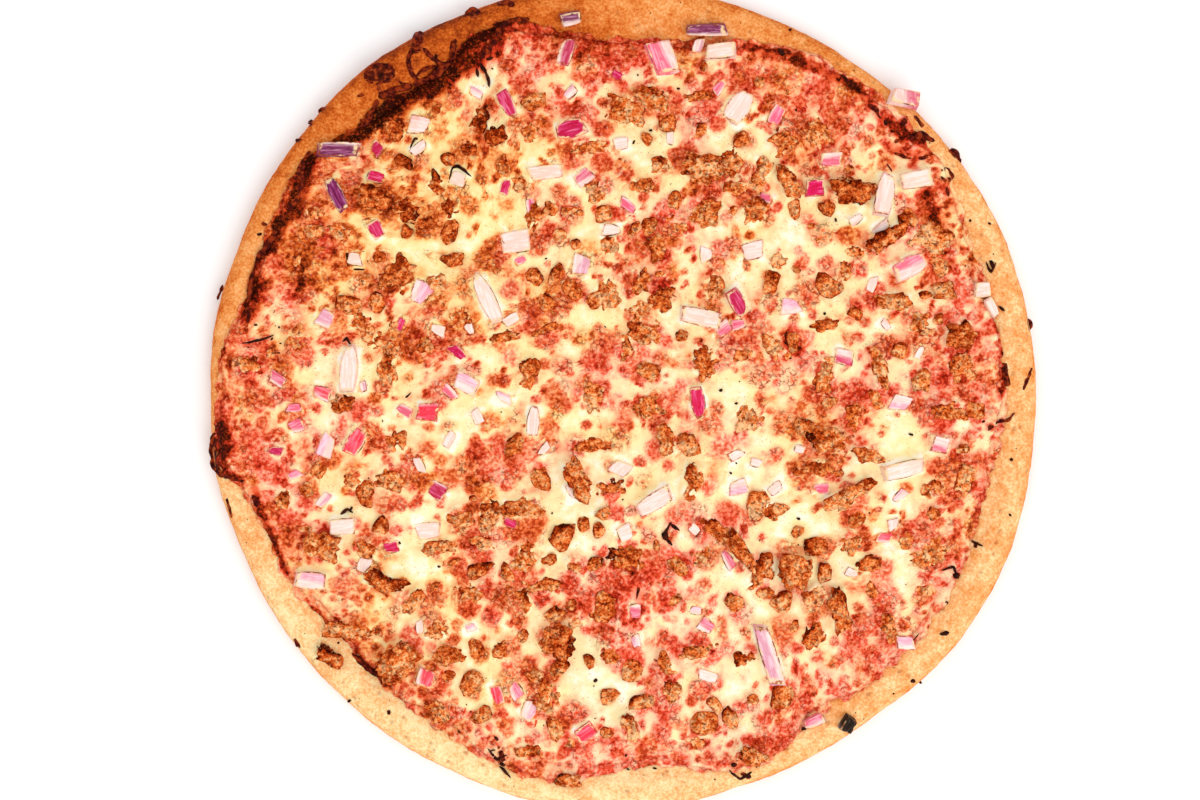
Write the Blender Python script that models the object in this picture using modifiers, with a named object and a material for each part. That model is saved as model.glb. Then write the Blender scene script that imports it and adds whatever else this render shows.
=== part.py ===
"""A round pan pizza, 14 inches across, whole and uncut: dough with a low raised rim, a tomato sauce
layer that shows as a ragged ring, and melted cheese that carries ground meat crumbs and diced red
onion. Metres, +Z up, origin on the table under the middle of the pizza."""

import bmesh
import bpy
import numpy
import random
from math import atan2, cos, degrees, hypot, pi, radians, sin
from mathutils import Matrix, Vector, noise
from mathutils.bvhtree import BVHTree

MM = 0.001

PIZZA_DIAMETER = 356 * MM
TOPPING_DIAMETER = 326 * MM
CROWN_HEIGHT = 12.2 * MM
BASIN_HEIGHT = 6 * MM
SAUCE_THICKNESS = 1 * MM
CHEESE_THICKNESS = 3.2 * MM
CHEESE_EDGE_THICKNESS = 1.3 * MM
CHEESE_EDGE_TAPER = 16 * MM
CHEESE_INSET = 2.5 * MM
GAP = 0.3 * MM
RIM_GAP = 0.5 * MM
SEGMENTS = 72
MERGE_DISTANCE = 0.02 * MM

# The photograph looks straight down, so a place in it is a place on the pizza.
PHOTO_CENTRE = (622.8, 395.5)
PHOTO_DIAMETER = 827.2
PIXEL = PIZZA_DIAMETER / PHOTO_DIAMETER

RADIUS = PIZZA_DIAMETER / 2
TOPPING_RADIUS = TOPPING_DIAMETER / 2

# The rim in section: how far in from the outer edge, and the height there. Straight between points.
RIM_TOP = [
    (0.0, 5.0), (0.7, 8.0), (2.4, 10.4), (5.2, 11.8), (8.6, 12.2),
    (12.2, 11.3), (16.0, 9.4), (20.5, 7.3), (26.0, 6.2), (32.0, 6.0),
]
RIM_BOTTOM = [(0.6, 2.4), (2.2, 0.7), (5.0, 0.0)]

# Where the outline swells or falls in: azimuth and half width in degrees, reach in millimetres.
RIM_SWELLS = [
    (45, 8, -1.2), (62, 15, -3.2), (128, 20, 1.2), (190, 6, 1.0),
    (209, 9, -1.0), (268, 12, 1.1), (295, 16, -2.4), (335, 16, 2.0),
]

# Finer ripples all the way round: waves in a turn, reach in millimetres, phase in degrees.
OUTLINE_RIPPLES = [(9, 0.35, 0), (17, 0.25, 57)]
CHEESE_RIPPLES = [(13, 1.2, 0), (29, 0.8, 115)]

# How the rim puffs up and down: waves in a turn, share of its height, phase in degrees.
RIM_PUFFS = [(3, 0.05, 57), (7, 0.035, 0)]

# Where the sauce runs out towards the rim or stops short, in the same numbers as the outline.
SAUCE_RUNS = [
    (0, 10, 1), (38, 9, 6), (52, 8, 4.5), (63, 6, 3), (76, 9, -4), (90, 9, -9), (104, 5, 1),
    (111, 6, 5), (121, 6, -3.5), (146, 6, 6.5), (154, 5, 2), (165, 9, 4), (179, 8, 10),
    (188, 5, 11), (196, 4, 3), (210, 6, 2), (220, 7, -3.5), (232, 8, -1), (250, 8, 2),
    (260, 8, 5), (271, 8, -3.5), (290, 7, 5.5), (301, 5, -2), (320, 6, 1), (331, 6, 1.5),
    (344, 7, -1.5),
]

# Gentle waves of the melted cheese: length in mm, height in mm, direction and phase in degrees.
CHEESE_WAVES = [
    (64, 0.45, 20, 0), (47, 0.40, 98, 70), (35, 0.35, 152, 200),
    (28, 0.30, 61, 310), (22, 0.25, 118, 130), (17, 0.20, 5, 250),
]

# Each loose piece: its place in the photograph, then length, width and height in mm, and its turn.
LOOSE_ONION = {
    "onion_left_slab": (339, 151, 18, 6.5, 4.0, 2),
    "onion_left_wedge": (337, 194, 15, 6.5, 4.0, -65),
    "onion_dark_triangle": (507, 105, 12, 7, 4.0, -60),
    "onion_top_end": (571, 21, 9, 6, 4.0, 10),
    "onion_top_sliver": (566, 54, 13, 6.5, 4.0, 72),
    "onion_top_block": (663, 60, 15, 10.5, 5.0, -70),
    "onion_rim_slab": (708, 32, 17, 5.5, 4.5, 2),
    "onion_rim_block": (721, 53, 14.5, 8, 5.0, 8),
    "onion_white_petal": (737, 110, 15, 12, 4.5, 55),
    "onion_diamond": (571, 130, 14, 9, 4.0, 20),
    "onion_sauce_dice": (830, 161, 9.5, 7, 4.5, 0),
    "onion_magenta_dice": (814, 189, 8.5, 8, 4.5, 8),
    "onion_long_petal": (884, 194, 19, 9, 4.0, 78),
    "onion_white_block": (914, 181, 13, 7.5, 5.0, 12),
    "onion_over_edge": (904, 100, 13.5, 7.5, 4.0, -8),
    "onion_right_petal": (908, 268, 14.5, 10, 4.5, 28),
    "onion_rose_half": (358, 440, 12.5, 9, 4.0, 62),
    "onion_rose_square": (429, 412, 9.5, 9, 4.5, -5),
    "onion_split_dice": (467, 383, 11, 9, 4.5, -25),
    "onion_cream_petal": (350, 370, 21, 8.5, 4.5, 86),
    "onion_long_white": (488, 300, 24, 8, 4.5, -65),
    "onion_snow_block": (345, 525, 11, 8, 4.5, 8),
    "onion_striped_petal": (697, 402, 14, 7, 4.0, -78),
    "onion_magenta_wedge": (736, 302, 12, 7.5, 4.5, -60),
    "onion_wide_slab": (700, 317, 17, 8.5, 4.0, -12),
    "onion_middle_petal": (534, 422, 14.5, 6, 4.0, 85),
    "onion_big_white": (655, 501, 17, 9, 5.0, 32),
    "onion_framed_dice": (938, 445, 8, 8, 4.5, -10),
    "onion_pale_slab": (903, 468, 17, 8, 4.0, 15),
    "onion_blush_block": (315, 579, 14.5, 8, 4.5, -8),
    "onion_coral_dice": (428, 675, 9, 8.5, 4.5, 70),
    "onion_ruby_dice": (585, 730, 8.5, 8.5, 4.5, 35),
    "onion_long_strip": (768, 653, 27, 8, 4.5, -72),
    "onion_charred_dice": (847, 722, 7.5, 6, 4.0, 60),
}
LOOSE_MEAT = {
    "crumb_top_twin": (655, 101, 15, 9, 6.0, -20),
    "crumb_top_heap": (702, 170, 16, 11, 6.5, -15),
    "crumb_tall": (788, 186, 15, 7.5, 6.0, -62),
    "crumb_dark_heap": (851, 193, 16, 11, 7.0, -15),
    "crumb_right_roll": (884, 240, 19, 7.5, 6.0, 33),
    "crumb_left_heap": (374, 199, 15, 9, 6.5, -20),
    "crumb_centre_roll": (665, 440, 14.5, 7, 6.0, -80),
    "crumb_centre_long": (577, 478, 19, 8.5, 6.5, -65),
    "crumb_right_cap": (825, 440, 15.5, 10, 6.5, 0),
    "crumb_slant": (848, 495, 22, 8, 6.5, 32),
    "crumb_right_loaf": (892, 303, 15.5, 8, 6.0, 0),
    "crumb_upright": (878, 367, 18, 6.5, 6.0, -78),
    "crumb_left_cap": (325, 545, 15, 11, 7.0, -25),
    "crumb_left_long": (385, 582, 20, 7.5, 6.0, -18),
    "crumb_low_heap": (400, 660, 17, 13, 7.5, 40),
    "crumb_low_round": (558, 640, 14, 13, 7.5, 70),
    "crumb_low_roll": (630, 725, 15, 6.5, 5.5, -68),
    "crumb_curl": (740, 550, 18, 7.5, 6.0, -55),
    "crumb_clover": (795, 570, 14, 12, 7.0, 60),
    "crumb_pillar": (838, 610, 19, 8, 6.0, -78),
    "crumb_low_loaf": (750, 752, 16, 7, 5.5, -20),
    "crumb_on_rim": (331, 656, 12, 6.5, 4.5, -35),
}

# Pieces half sunk in the cheese: place in the photograph, length and width in mm, and turn.
SUNKEN_MEAT = [
    (437, 185, 11, 6.5, -60), (712, 288, 13, 10, 40), (705, 360, 15, 10, 80), (592, 446, 20, 6.5, 0),
    (816, 468, 17, 7.5, -5), (957, 335, 12, 11, 0), (415, 599, 14, 7.5, 35), (437, 627, 10, 9, 0),
    (452, 655, 14, 9, 10), (547, 697, 13, 11, 80), (545, 585, 18, 6.5, 0), (888, 628, 17, 7, -82),
    (870, 562, 14, 8, 8), (700, 556, 10.5, 8, 15), (529, 375, 15.5, 8, 90), (627, 350, 12, 8, 88),
    (345, 405, 10, 8, 10), (396, 440, 9, 8, 0), (388, 375, 18, 8, 88), (440, 546, 15, 7.5, 5),
    (367, 549, 11, 8, -15), (752, 213, 13, 9, 60), (590, 149, 15, 6.5, 12), (945, 412, 17, 9, 0),
    (850, 415, 12, 8, -80), (693, 480, 14, 9, 80), (612, 487, 13, 7, 15), (523, 507, 16, 9, 10),
    (700, 98, 13, 6, 8), (867, 455, 14, 7, 0), (933, 487, 9.5, 8, 0), (850, 541, 10, 8.5, 60),
    (905, 542, 9, 8, 0), (775, 509, 10, 7, 10), (665, 665, 12, 8, -60), (698, 650, 16, 6, 15),
    (745, 657, 12, 7, 15), (670, 690, 9, 9, 0), (522, 601, 10, 8.5, -50), (345, 630, 17, 7, -5),
    (438, 711, 12, 8, -60), (645, 188, 10, 7, 0), (680, 228, 8, 7, 0), (610, 246, 9, 7, 0),
    (572, 212, 13, 6, 0), (440, 283, 8, 7, 0), (855, 254, 9.5, 6, -10), (845, 270, 9, 7, 80),
    (925, 332, 9, 6, 0), (480, 372, 12, 8, 90), (825, 325, 11, 6, 0), (533, 750, 12, 6, 0),
    (545, 330, 14, 5, 20), (700, 132, 9, 7, 85), (480, 541, 12, 7, 0), (380, 257, 8, 7, 0),
    (575, 566, 9, 6, 0), (320, 470, 8, 7, 60), (300, 345, 9, 8, 0), (250, 365, 9, 8, 30),
]
SUNKEN_ONION = [
    (378, 150, 7.5, 7, 45), (376, 230, 10, 6, -60), (420, 125, 9, 8.5, -10), (458, 179, 10, 7, -25),
    (355, 260, 8, 7, 0), (422, 293, 9.5, 9.5, 60), (774, 118, 10, 8, 60), (581, 180, 9, 8.5, 40),
    (545, 172, 13, 7, 2), (580, 265, 10, 8.5, 75), (519, 241, 13, 9, 8), (328, 320, 10, 8.5, -30),
    (277, 379, 8, 7.5, -30), (322, 392, 8, 7.5, -20), (328, 447, 11, 7, 68), (458, 351, 8.5, 6.5, -50),
    (440, 491, 8.5, 8, -30), (427, 530, 10, 7, 0), (620, 468, 8.5, 8.5, 45), (625, 531, 8.5, 8, 20),
    (738, 487, 8.5, 7.5, 0), (790, 308, 9, 9, 10), (843, 357, 10, 7, -20), (901, 403, 9, 7.5, -15),
    (980, 290, 7, 7, 5), (820, 489, 7, 5.5, 5), (882, 536, 8, 5, -10), (392, 547, 6.5, 5.5, 15),
    (497, 692, 10, 6, -75), (529, 707, 8.5, 6.5, 60), (636, 611, 7, 7, 0), (707, 627, 8, 7.5, -30),
    (904, 640, 8, 7, 0), (855, 617, 10, 6.5, -60), (749, 252, 11, 8, 10),
]
SUNKEN_SHARES = (1, 0.85, 0.7)

# How much of a sunken piece stands above the cheese, and a crumb's height as a share of its width.
MEAT_RISE = 0.62
ONION_RISE = 0.45
SUNKEN_MEAT_HEIGHT = 0.75
SUNKEN_ONION_HEIGHT = 4.2 * MM
SMALL_CRUMB_WIDTH = 9.5 * MM
CRAG_DEPTH = 0.20
CRAG_SIZE = 5 * MM

# A loose crumb is a taller lump cut flat below the middle, both as shares of its own height.
LUMP_HEIGHT = 1.3
CUT_DEPTH = 0.35

# How a diced piece departs from a box: the ranges of its skew, its narrower top and its uneven sides.
DICE_SKEW = (-0.12, 0.12)
DICE_TAPER = (0.78, 0.94)
DICE_UNEVEN = (-0.12, 0.06)
WORN_EDGE = 0.7 * MM

STEEPEST_LEAN = 0.3
BASE_GRID = 11
FOOTPRINT_POINTS = 12

COLOURS = {
    "crust": ((0.90, 0.60, 0.30, 1), 0.75),
    "sauce": ((0.55, 0.12, 0.05, 1), 0.35),
    "cheese": ((0.97, 0.80, 0.45, 1), 0.40),
    "onion": ((0.90, 0.45, 0.55, 1), 0.35),
    "meat": ((0.55, 0.24, 0.09, 1), 0.65),
}


def clear_scene():
    for obj in list(bpy.data.objects):
        bpy.data.objects.remove(obj, do_unlink=True)


def make_collection(name):
    collection = bpy.data.collections.new(name)
    bpy.context.scene.collection.children.link(collection)
    return collection


def make_material(name):
    colour, roughness = COLOURS[name]
    material = bpy.data.materials.new(name)
    material.use_nodes = True
    shader = material.node_tree.nodes["Principled BSDF"]
    shader.inputs["Base Color"].default_value = colour
    shader.inputs["Roughness"].default_value = roughness
    shader.inputs["Metallic"].default_value = 0
    return material


def make_object(name, bm, collection, material=None):
    """Turns a bmesh into an object, with all of its faces pointing out."""
    bmesh.ops.recalc_face_normals(bm, faces=bm.faces)
    mesh = bpy.data.meshes.new(name)
    bm.to_mesh(mesh)
    bm.free()
    obj = bpy.data.objects.new(name, mesh)
    if material:
        mesh.materials.append(material)
    collection.objects.link(obj)
    return obj


def swell(azimuth, runs):
    """The sum, in metres, of the runs near an azimuth given in degrees. Each fades out as a cosine."""
    total = 0
    for centre, half_width, reach in runs:
        away = abs((azimuth - centre + 180) % 360 - 180)
        if away < half_width * 2:
            total += reach * MM * 0.5 * (1 + cos(pi * away / (half_width * 2)))
    return total


def ripple(azimuth, waves):
    """The sum of sine waves that run a whole number of times round the pizza."""
    return sum(reach * sin(radians(azimuth * count + phase)) for count, reach, phase in waves)


def outline(azimuth):
    """How far the outer edge lies from the middle."""
    return RADIUS + swell(azimuth, RIM_SWELLS) + ripple(azimuth, OUTLINE_RIPPLES) * MM


def sauce_edge(azimuth):
    wanted = TOPPING_RADIUS + swell(azimuth, SAUCE_RUNS)
    return min(wanted, outline(azimuth) - RIM_TOP[2][0] * MM)


def cheese_edge(azimuth):
    return sauce_edge(azimuth) - CHEESE_INSET + ripple(azimuth, CHEESE_RIPPLES) * MM


def crust_height(azimuth, radius):
    """The top of the dough: straight between the section's points, and higher where the rim puffs."""
    inward = (outline(azimuth) - radius) / MM
    height = RIM_TOP[-1][1]
    for (near, low), (far, high) in zip(RIM_TOP, RIM_TOP[1:]):
        if inward <= far:
            height = low + (high - low) * (max(inward, near) - near) / (far - near)
            break
    raised = max(0, height * MM - BASIN_HEIGHT)
    return min(height * MM, BASIN_HEIGHT) + raised * (1 + ripple(azimuth, RIM_PUFFS))


def sauce_bottom(azimuth, radius):
    """The sauce stands off the dough by the gap, and by a little more where the rim curves under it."""
    height = crust_height(azimuth, radius)
    climb = (height - BASIN_HEIGHT) / (CROWN_HEIGHT - BASIN_HEIGHT)
    return height + GAP + RIM_GAP * climb


def cheese_bottom(azimuth, radius):
    return sauce_bottom(azimuth, radius) + SAUCE_THICKNESS + GAP


def cheese_top(azimuth, radius):
    """The cheese thins towards its edge, and rises and falls in long waves."""
    x = radius * cos(radians(azimuth))
    y = radius * sin(radians(azimuth))
    waves = 0
    for length, height, direction, phase in CHEESE_WAVES:
        along = x * cos(radians(direction)) + y * sin(radians(direction))
        waves += height * MM * sin(2 * pi * along / (length * MM) + radians(phase))
    inside = max(0, min(1, (cheese_edge(azimuth) - radius) / CHEESE_EDGE_TAPER))
    eased = inside * inside * (3 - 2 * inside)
    thickness = CHEESE_EDGE_THICKNESS + (CHEESE_THICKNESS - CHEESE_EDGE_THICKNESS + waves) * eased
    return cheese_bottom(azimuth, radius) + thickness


def turned(section, place):
    """Turns a section round the Z axis and then puts each point where place says.

    A section is a list of rings. place takes a ring and an azimuth, and gives a radius and a height.
    Points of neighbouring rings that end in one spot are merged there."""
    bm = bmesh.new()
    line = [bm.verts.new((1, 0, index)) for index in range(len(section))]
    edges = [bm.edges.new(pair) for pair in zip(line, line[1:])]
    bmesh.ops.spin(
        bm, geom=line + edges, cent=(0, 0, 0), axis=(0, 0, 1), angle=2 * pi, steps=SEGMENTS, use_merge=True
    )
    for vert in bm.verts:
        azimuth = degrees(atan2(vert.co.y, vert.co.x)) % 360
        radius, height = place(section[round(vert.co.z)], azimuth)
        vert.co = (radius * cos(radians(azimuth)), radius * sin(radians(azimuth)), height)
    bmesh.ops.remove_doubles(bm, verts=bm.verts, dist=MERGE_DISTANCE)
    bmesh.ops.dissolve_degenerate(bm, edges=bm.edges, dist=MERGE_DISTANCE / 2)
    return bm


def make_crust(collection, material):
    """The dough: a flat base, a rounded side, a puffed rim and a level basin."""
    section = [("foot", None)]
    section += [("foot", point) for point in reversed(RIM_BOTTOM)]
    section += [("top", point) for point in RIM_TOP]
    section += [("top", None)]

    def place(ring, azimuth):
        part, point = ring
        if point is None:
            return 0, (0 if part == "foot" else BASIN_HEIGHT)
        radius = outline(azimuth) - point[0] * MM
        if part == "foot":
            return radius, point[1] * MM
        return radius, crust_height(azimuth, radius)

    return make_object("crust", turned(section, place), collection, material)


def layer_stations():
    """How far in from the outer edge the layers on the dough have a ring, outermost first."""
    return [inward * MM for inward, height in RIM_TOP[2:]]


def make_sauce(collection, material):
    """A thin sheet that lies on the dough and climbs the inside of the rim."""
    stations = layer_stations()
    section = [("under", None)] + [("under", station) for station in reversed(stations)]
    section += [("over", station) for station in stations] + [("over", None)]

    def place(ring, azimuth):
        side, station = ring
        thickness = 0 if side == "under" else SAUCE_THICKNESS
        if station is None:
            return 0, sauce_bottom(0, 0) + thickness
        radius = min(outline(azimuth) - station, sauce_edge(azimuth))
        return radius, sauce_bottom(azimuth, radius) + thickness

    return make_object("sauce", turned(section, place), collection, material)


def make_cheese_core(collection, material):
    """The melted cheese without its pieces: it follows the sauce below and is wavy above."""
    section = [("under", None)] + [("under", station) for station in reversed(layer_stations())]
    shares = [1.0, 0.975, 0.94, 0.89, 0.83, 0.76, 0.69, 0.61, 0.53, 0.45, 0.36, 0.27, 0.18, 0.09]
    section += [("over", share) for share in shares] + [("over", None)]

    def place(ring, azimuth):
        side, value = ring
        if value is None:
            return 0, (cheese_bottom if side == "under" else cheese_top)(0, 0)
        if side == "under":
            radius = min(outline(azimuth) - value, cheese_edge(azimuth))
            return radius, cheese_bottom(azimuth, radius)
        radius = value * cheese_edge(azimuth)
        return radius, cheese_top(azimuth, radius)

    return make_object("cheese", turned(section, place), collection, material)


def on_pizza(photo_x, photo_y):
    """A place in the photograph as x and y on the pizza."""
    return (photo_x - PHOTO_CENTRE[0]) * PIXEL, (PHOTO_CENTRE[1] - photo_y) * PIXEL


def polar(x, y):
    return degrees(atan2(y, x)) % 360, hypot(x, y)


def crumb_mesh(length, width, height, seed):
    """A craggy lump of ground meat round the origin, its sides pushed in and out by noise."""
    bm = bmesh.new()
    if width > SMALL_CRUMB_WIDTH:
        bmesh.ops.create_icosphere(bm, subdivisions=2, radius=1)
    else:
        bmesh.ops.create_uvsphere(bm, u_segments=7, v_segments=4, radius=1)
    for vert in bm.verts:
        point = Vector((vert.co.x * length, vert.co.y * width, vert.co.z * height)) / 2
        crag = noise.noise(point / CRAG_SIZE + Vector((seed * 7.3, seed * 3.1, seed)))
        vert.co = point * (1 + CRAG_DEPTH * crag)
    return bm


def onion_mesh(length, width, height, seed):
    """A diced piece round the origin: a box whose top is narrower, skewed and a little tilted."""
    bm = bmesh.new()
    bmesh.ops.create_cube(bm, size=1)
    draw = random.Random(seed)
    skew = draw.uniform(*DICE_SKEW)
    taper = draw.uniform(*DICE_TAPER)
    for vert in bm.verts:
        narrow = taper if vert.co.z > 0 else 1
        x = (vert.co.x * narrow + skew * vert.co.y) * length
        y = vert.co.y * narrow * (1 + draw.uniform(*DICE_UNEVEN)) * width
        vert.co = (x, y, vert.co.z * height)
    return bm


def turned_to(bm, turn, x, y, z):
    bmesh.ops.rotate(bm, verts=bm.verts, cent=(0, 0, 0), matrix=Matrix.Rotation(radians(turn), 3, "Z"))
    bmesh.ops.translate(bm, verts=bm.verts, vec=(x, y, z))
    return bm


def keep_above_sauce(bm):
    """Lifts the points that would reach through the cheese onto a level just inside its underside."""
    for vert in bm.verts:
        lowest = cheese_bottom(*polar(vert.co.x, vert.co.y)) + CHEESE_EDGE_THICKNESS / 2
        vert.co.z = max(vert.co.z, lowest)
    return bm


def clear_of_loose(x, y, length, width, turn):
    """True where the oval footprint of a sunken piece stays outside every loose piece's rectangle."""
    for row in [*LOOSE_ONION.values(), *LOOSE_MEAT.values()]:
        photo_x, photo_y, loose_length, loose_width, loose_height, loose_turn = row
        loose_x, loose_y = on_pizza(photo_x, photo_y)
        for step in range(FOOTPRINT_POINTS):
            angle = 2 * pi * step / FOOTPRINT_POINTS
            rim = Vector((cos(angle) * length / 2, sin(angle) * width / 2))
            spot = Matrix.Rotation(radians(turn), 2) @ rim + Vector((x - loose_x, y - loose_y))
            offset = Matrix.Rotation(radians(-loose_turn), 2) @ spot
            along = abs(offset.x) < loose_length * MM / 2 + GAP
            across = abs(offset.y) < loose_width * MM / 2 + GAP
            if along and across:
                return False
    return True


def room_for(row):
    """A sunken piece in metres, shrunk as far as it takes to clear the loose ones, or None."""
    photo_x, photo_y, length, width, turn = row
    x, y = on_pizza(photo_x, photo_y)
    for share in SUNKEN_SHARES:
        fitted = (x, y, length * share * MM, width * share * MM, turn)
        if clear_of_loose(*fitted):
            return fitted
    return None


def make_sunken(collection):
    """The pieces that the cheese holds, each as its own object to be joined."""
    for index, row in enumerate(SUNKEN_MEAT):
        fitted = room_for(row)
        if not fitted:
            continue
        x, y, length, width, turn = fitted
        height = SUNKEN_MEAT_HEIGHT * width
        level = cheese_top(*polar(x, y)) + height * (MEAT_RISE - 0.5)
        bm = crumb_mesh(length, width, height, index + 100)
        make_object(f"sunken_meat_{index}", keep_above_sauce(turned_to(bm, turn, x, y, level)), collection)
    for index, row in enumerate(SUNKEN_ONION):
        fitted = room_for(row)
        if not fitted:
            continue
        x, y, length, width, turn = fitted
        level = cheese_top(*polar(x, y)) + SUNKEN_ONION_HEIGHT * (ONION_RISE - 0.5)
        bm = onion_mesh(length, width, SUNKEN_ONION_HEIGHT, index + 300)
        make_object(f"sunken_onion_{index}", keep_above_sauce(turned_to(bm, turn, x, y, level)), collection)


def join_sunken(core, pieces):
    """One union of the cheese with all that is sunk in it, applied, with the pieces then removed."""
    union = core.modifiers.new("sunken pieces", "BOOLEAN")
    union.operation = "UNION"
    union.operand_type = "COLLECTION"
    union.collection = pieces
    union.solver = "MANIFOLD"
    graph = bpy.context.evaluated_depsgraph_get()
    joined = bpy.data.meshes.new_from_object(core.evaluated_get(graph))
    core.modifiers.clear()
    core.data = joined
    for obj in list(pieces.objects):
        bpy.data.objects.remove(obj, do_unlink=True)
    bpy.data.collections.remove(pieces)


def surface_of(obj):
    graph = bpy.context.evaluated_depsgraph_get()
    return BVHTree.FromObject(obj, graph)


def ground_at(surfaces, spot):
    """The highest surface under a spot, looking straight down, or None past the outer edge."""
    hits = [surface.ray_cast(Vector((spot.x, spot.y, 1)), Vector((0, 0, -1)))[0] for surface in surfaces]
    return max((hit.z for hit in hits if hit), default=None)


def base_grid(bm):
    """A grid of points on a piece's flat underside, a little past its edge."""
    xs = [vert.co.x for vert in bm.verts]
    ys = [vert.co.y for vert in bm.verts]
    lowest = min(vert.co.z for vert in bm.verts)
    across = numpy.linspace(min(xs) - GAP, max(xs) + GAP, BASE_GRID)
    along = numpy.linspace(min(ys) - GAP, max(ys) + GAP, BASE_GRID)
    return [Vector((x, y, lowest)) for x in across for y in along]


def lean_of(surfaces, spots):
    """The slope of the plane that fits the ground under the spots best, along X and along Y."""
    ground = [(spot.x, spot.y, ground_at(surfaces, spot)) for spot in spots]
    known = numpy.array([row for row in ground if row[2] is not None])
    places = numpy.column_stack([known[:, 0], known[:, 1], numpy.ones(len(known))])
    slopes = numpy.linalg.lstsq(places, known[:, 2], rcond=None)[0][:2]
    return numpy.clip(slopes, -STEEPEST_LEAN, STEEPEST_LEAN)


def lying_on(surfaces, bm, turn, x, y):
    """The matrix that turns a piece, leans it with the ground and lowers it until only the gap is left."""
    moved = Matrix.Translation((x, y, 0))
    spun = Matrix.Rotation(radians(turn), 4, "Z")
    grid = base_grid(bm)
    slope_x, slope_y = lean_of(surfaces, [moved @ spun @ point for point in grid])
    lean = Vector((0, 0, 1)).rotation_difference(Vector((-slope_x, -slope_y, 1)))
    leaning = moved @ lean.to_matrix().to_4x4() @ spun
    spots = [leaning @ point for point in grid]
    grounds = [(spot.z, ground_at(surfaces, spot)) for spot in spots]
    lift = max(ground - height for height, ground in grounds if ground is not None)
    return Matrix.Translation((0, 0, lift + GAP)) @ leaning


def make_loose(name, row, shape, collection, material, surfaces, seed):
    """One loose piece, with its origin in its own middle, laid on the surfaces."""
    photo_x, photo_y, length, width, height, turn = row
    bm = shape(length * MM, width * MM, height * MM, seed)
    matrix = lying_on(surfaces, bm, turn, *on_pizza(photo_x, photo_y))
    obj = make_object(name, bm, collection, material)
    obj.matrix_world = matrix
    return obj


def loose_crumb(length, width, height, seed):
    """A crumb cut flat below, so that it lies still."""
    bm = crumb_mesh(length, width, height * LUMP_HEIGHT, seed)
    for vert in bm.verts:
        vert.co.z = max(vert.co.z, -height * CUT_DEPTH)
    return bm


def round_edges(obj):
    bevel = obj.modifiers.new("worn edges", "BEVEL")
    bevel.width = WORN_EDGE
    bevel.segments = 1


def main():
    clear_scene()
    pizza = make_collection("Pizza")
    sunken = make_collection("Sunken pieces")
    materials = {name: make_material(name) for name in COLOURS}

    crust = make_crust(pizza, materials["crust"])
    sauce = make_sauce(pizza, materials["sauce"])
    cheese = make_cheese_core(pizza, materials["cheese"])
    make_sunken(sunken)
    join_sunken(cheese, sunken)

    surfaces = [surface_of(obj) for obj in (crust, sauce, cheese)]
    for seed, (name, row) in enumerate(LOOSE_MEAT.items()):
        make_loose(name, row, loose_crumb, pizza, materials["meat"], surfaces, seed)
    for seed, (name, row) in enumerate(LOOSE_ONION.items()):
        piece = make_loose(name, row, onion_mesh, pizza, materials["onion"], surfaces, seed)
        round_edges(piece)


main()
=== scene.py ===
# Looks of a round uncut pizza with ground sausage and red onion: baked dough, tomato sauce, melted
# cheese, sausage crumbs, onion dice and burnt bits, on a white floor under soft light.
# Lengths are metres unless a name or a note says mm. Places read from the photograph are pixels.
import bmesh
import bpy
import numpy as np
from math import pi, radians
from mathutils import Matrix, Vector


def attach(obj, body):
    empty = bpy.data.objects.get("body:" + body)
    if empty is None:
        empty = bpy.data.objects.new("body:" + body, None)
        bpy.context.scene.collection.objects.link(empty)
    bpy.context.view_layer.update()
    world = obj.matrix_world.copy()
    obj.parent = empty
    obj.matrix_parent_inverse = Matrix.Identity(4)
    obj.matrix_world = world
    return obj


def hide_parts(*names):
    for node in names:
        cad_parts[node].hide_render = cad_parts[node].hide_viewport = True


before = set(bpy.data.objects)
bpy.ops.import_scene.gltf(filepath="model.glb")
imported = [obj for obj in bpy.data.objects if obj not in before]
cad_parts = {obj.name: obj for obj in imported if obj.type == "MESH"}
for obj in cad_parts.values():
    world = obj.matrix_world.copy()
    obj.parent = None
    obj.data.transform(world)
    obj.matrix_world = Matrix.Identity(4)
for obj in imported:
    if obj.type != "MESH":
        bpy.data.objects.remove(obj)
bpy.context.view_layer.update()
mm = 0.001

pizza = {
    "diameter": 356,  # mm, and every other size in this dictionary
    "toppingRadius": 163,
    "gap": 0.3,
    "rimGap": 0.5,
    "crown": 12.2,
    "basin": 6.0,
    "sauce": 1.0,
    "cheese": 3.2,
    "cheeseEdge": 1.3,
    "cheeseTaper": 16,
    "cheeseInset": 2.5,
}
photo = {"centre": (622.8, 395.5), "pizzaAcross": 827.2, "frameWide": 1200, "frameHigh": 800}
pixel = pizza["diameter"] / photo["pizzaAcross"]  # mm on the pizza for each pixel of the photograph

# The rim in section, as in the solid: mm in from the outer edge, and mm up.
rimIn = np.array([0.0, 0.7, 2.4, 5.2, 8.6, 12.2, 16.0, 20.5, 26.0, 32.0])
rimUp = np.array([5.0, 8.0, 10.4, 11.8, 12.2, 11.3, 9.4, 7.3, 6.2, 6.0])

# Ripples round the pizza: waves in a turn, reach in mm (or share), phase in degrees.
outlineRipples = [(9, 0.35, 0), (17, 0.25, 57)]
cheeseRipples = [(13, 1.2, 0), (29, 0.8, 115)]
rimPuffs = [(3, 0.05, 57), (7, 0.035, 0)]

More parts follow.
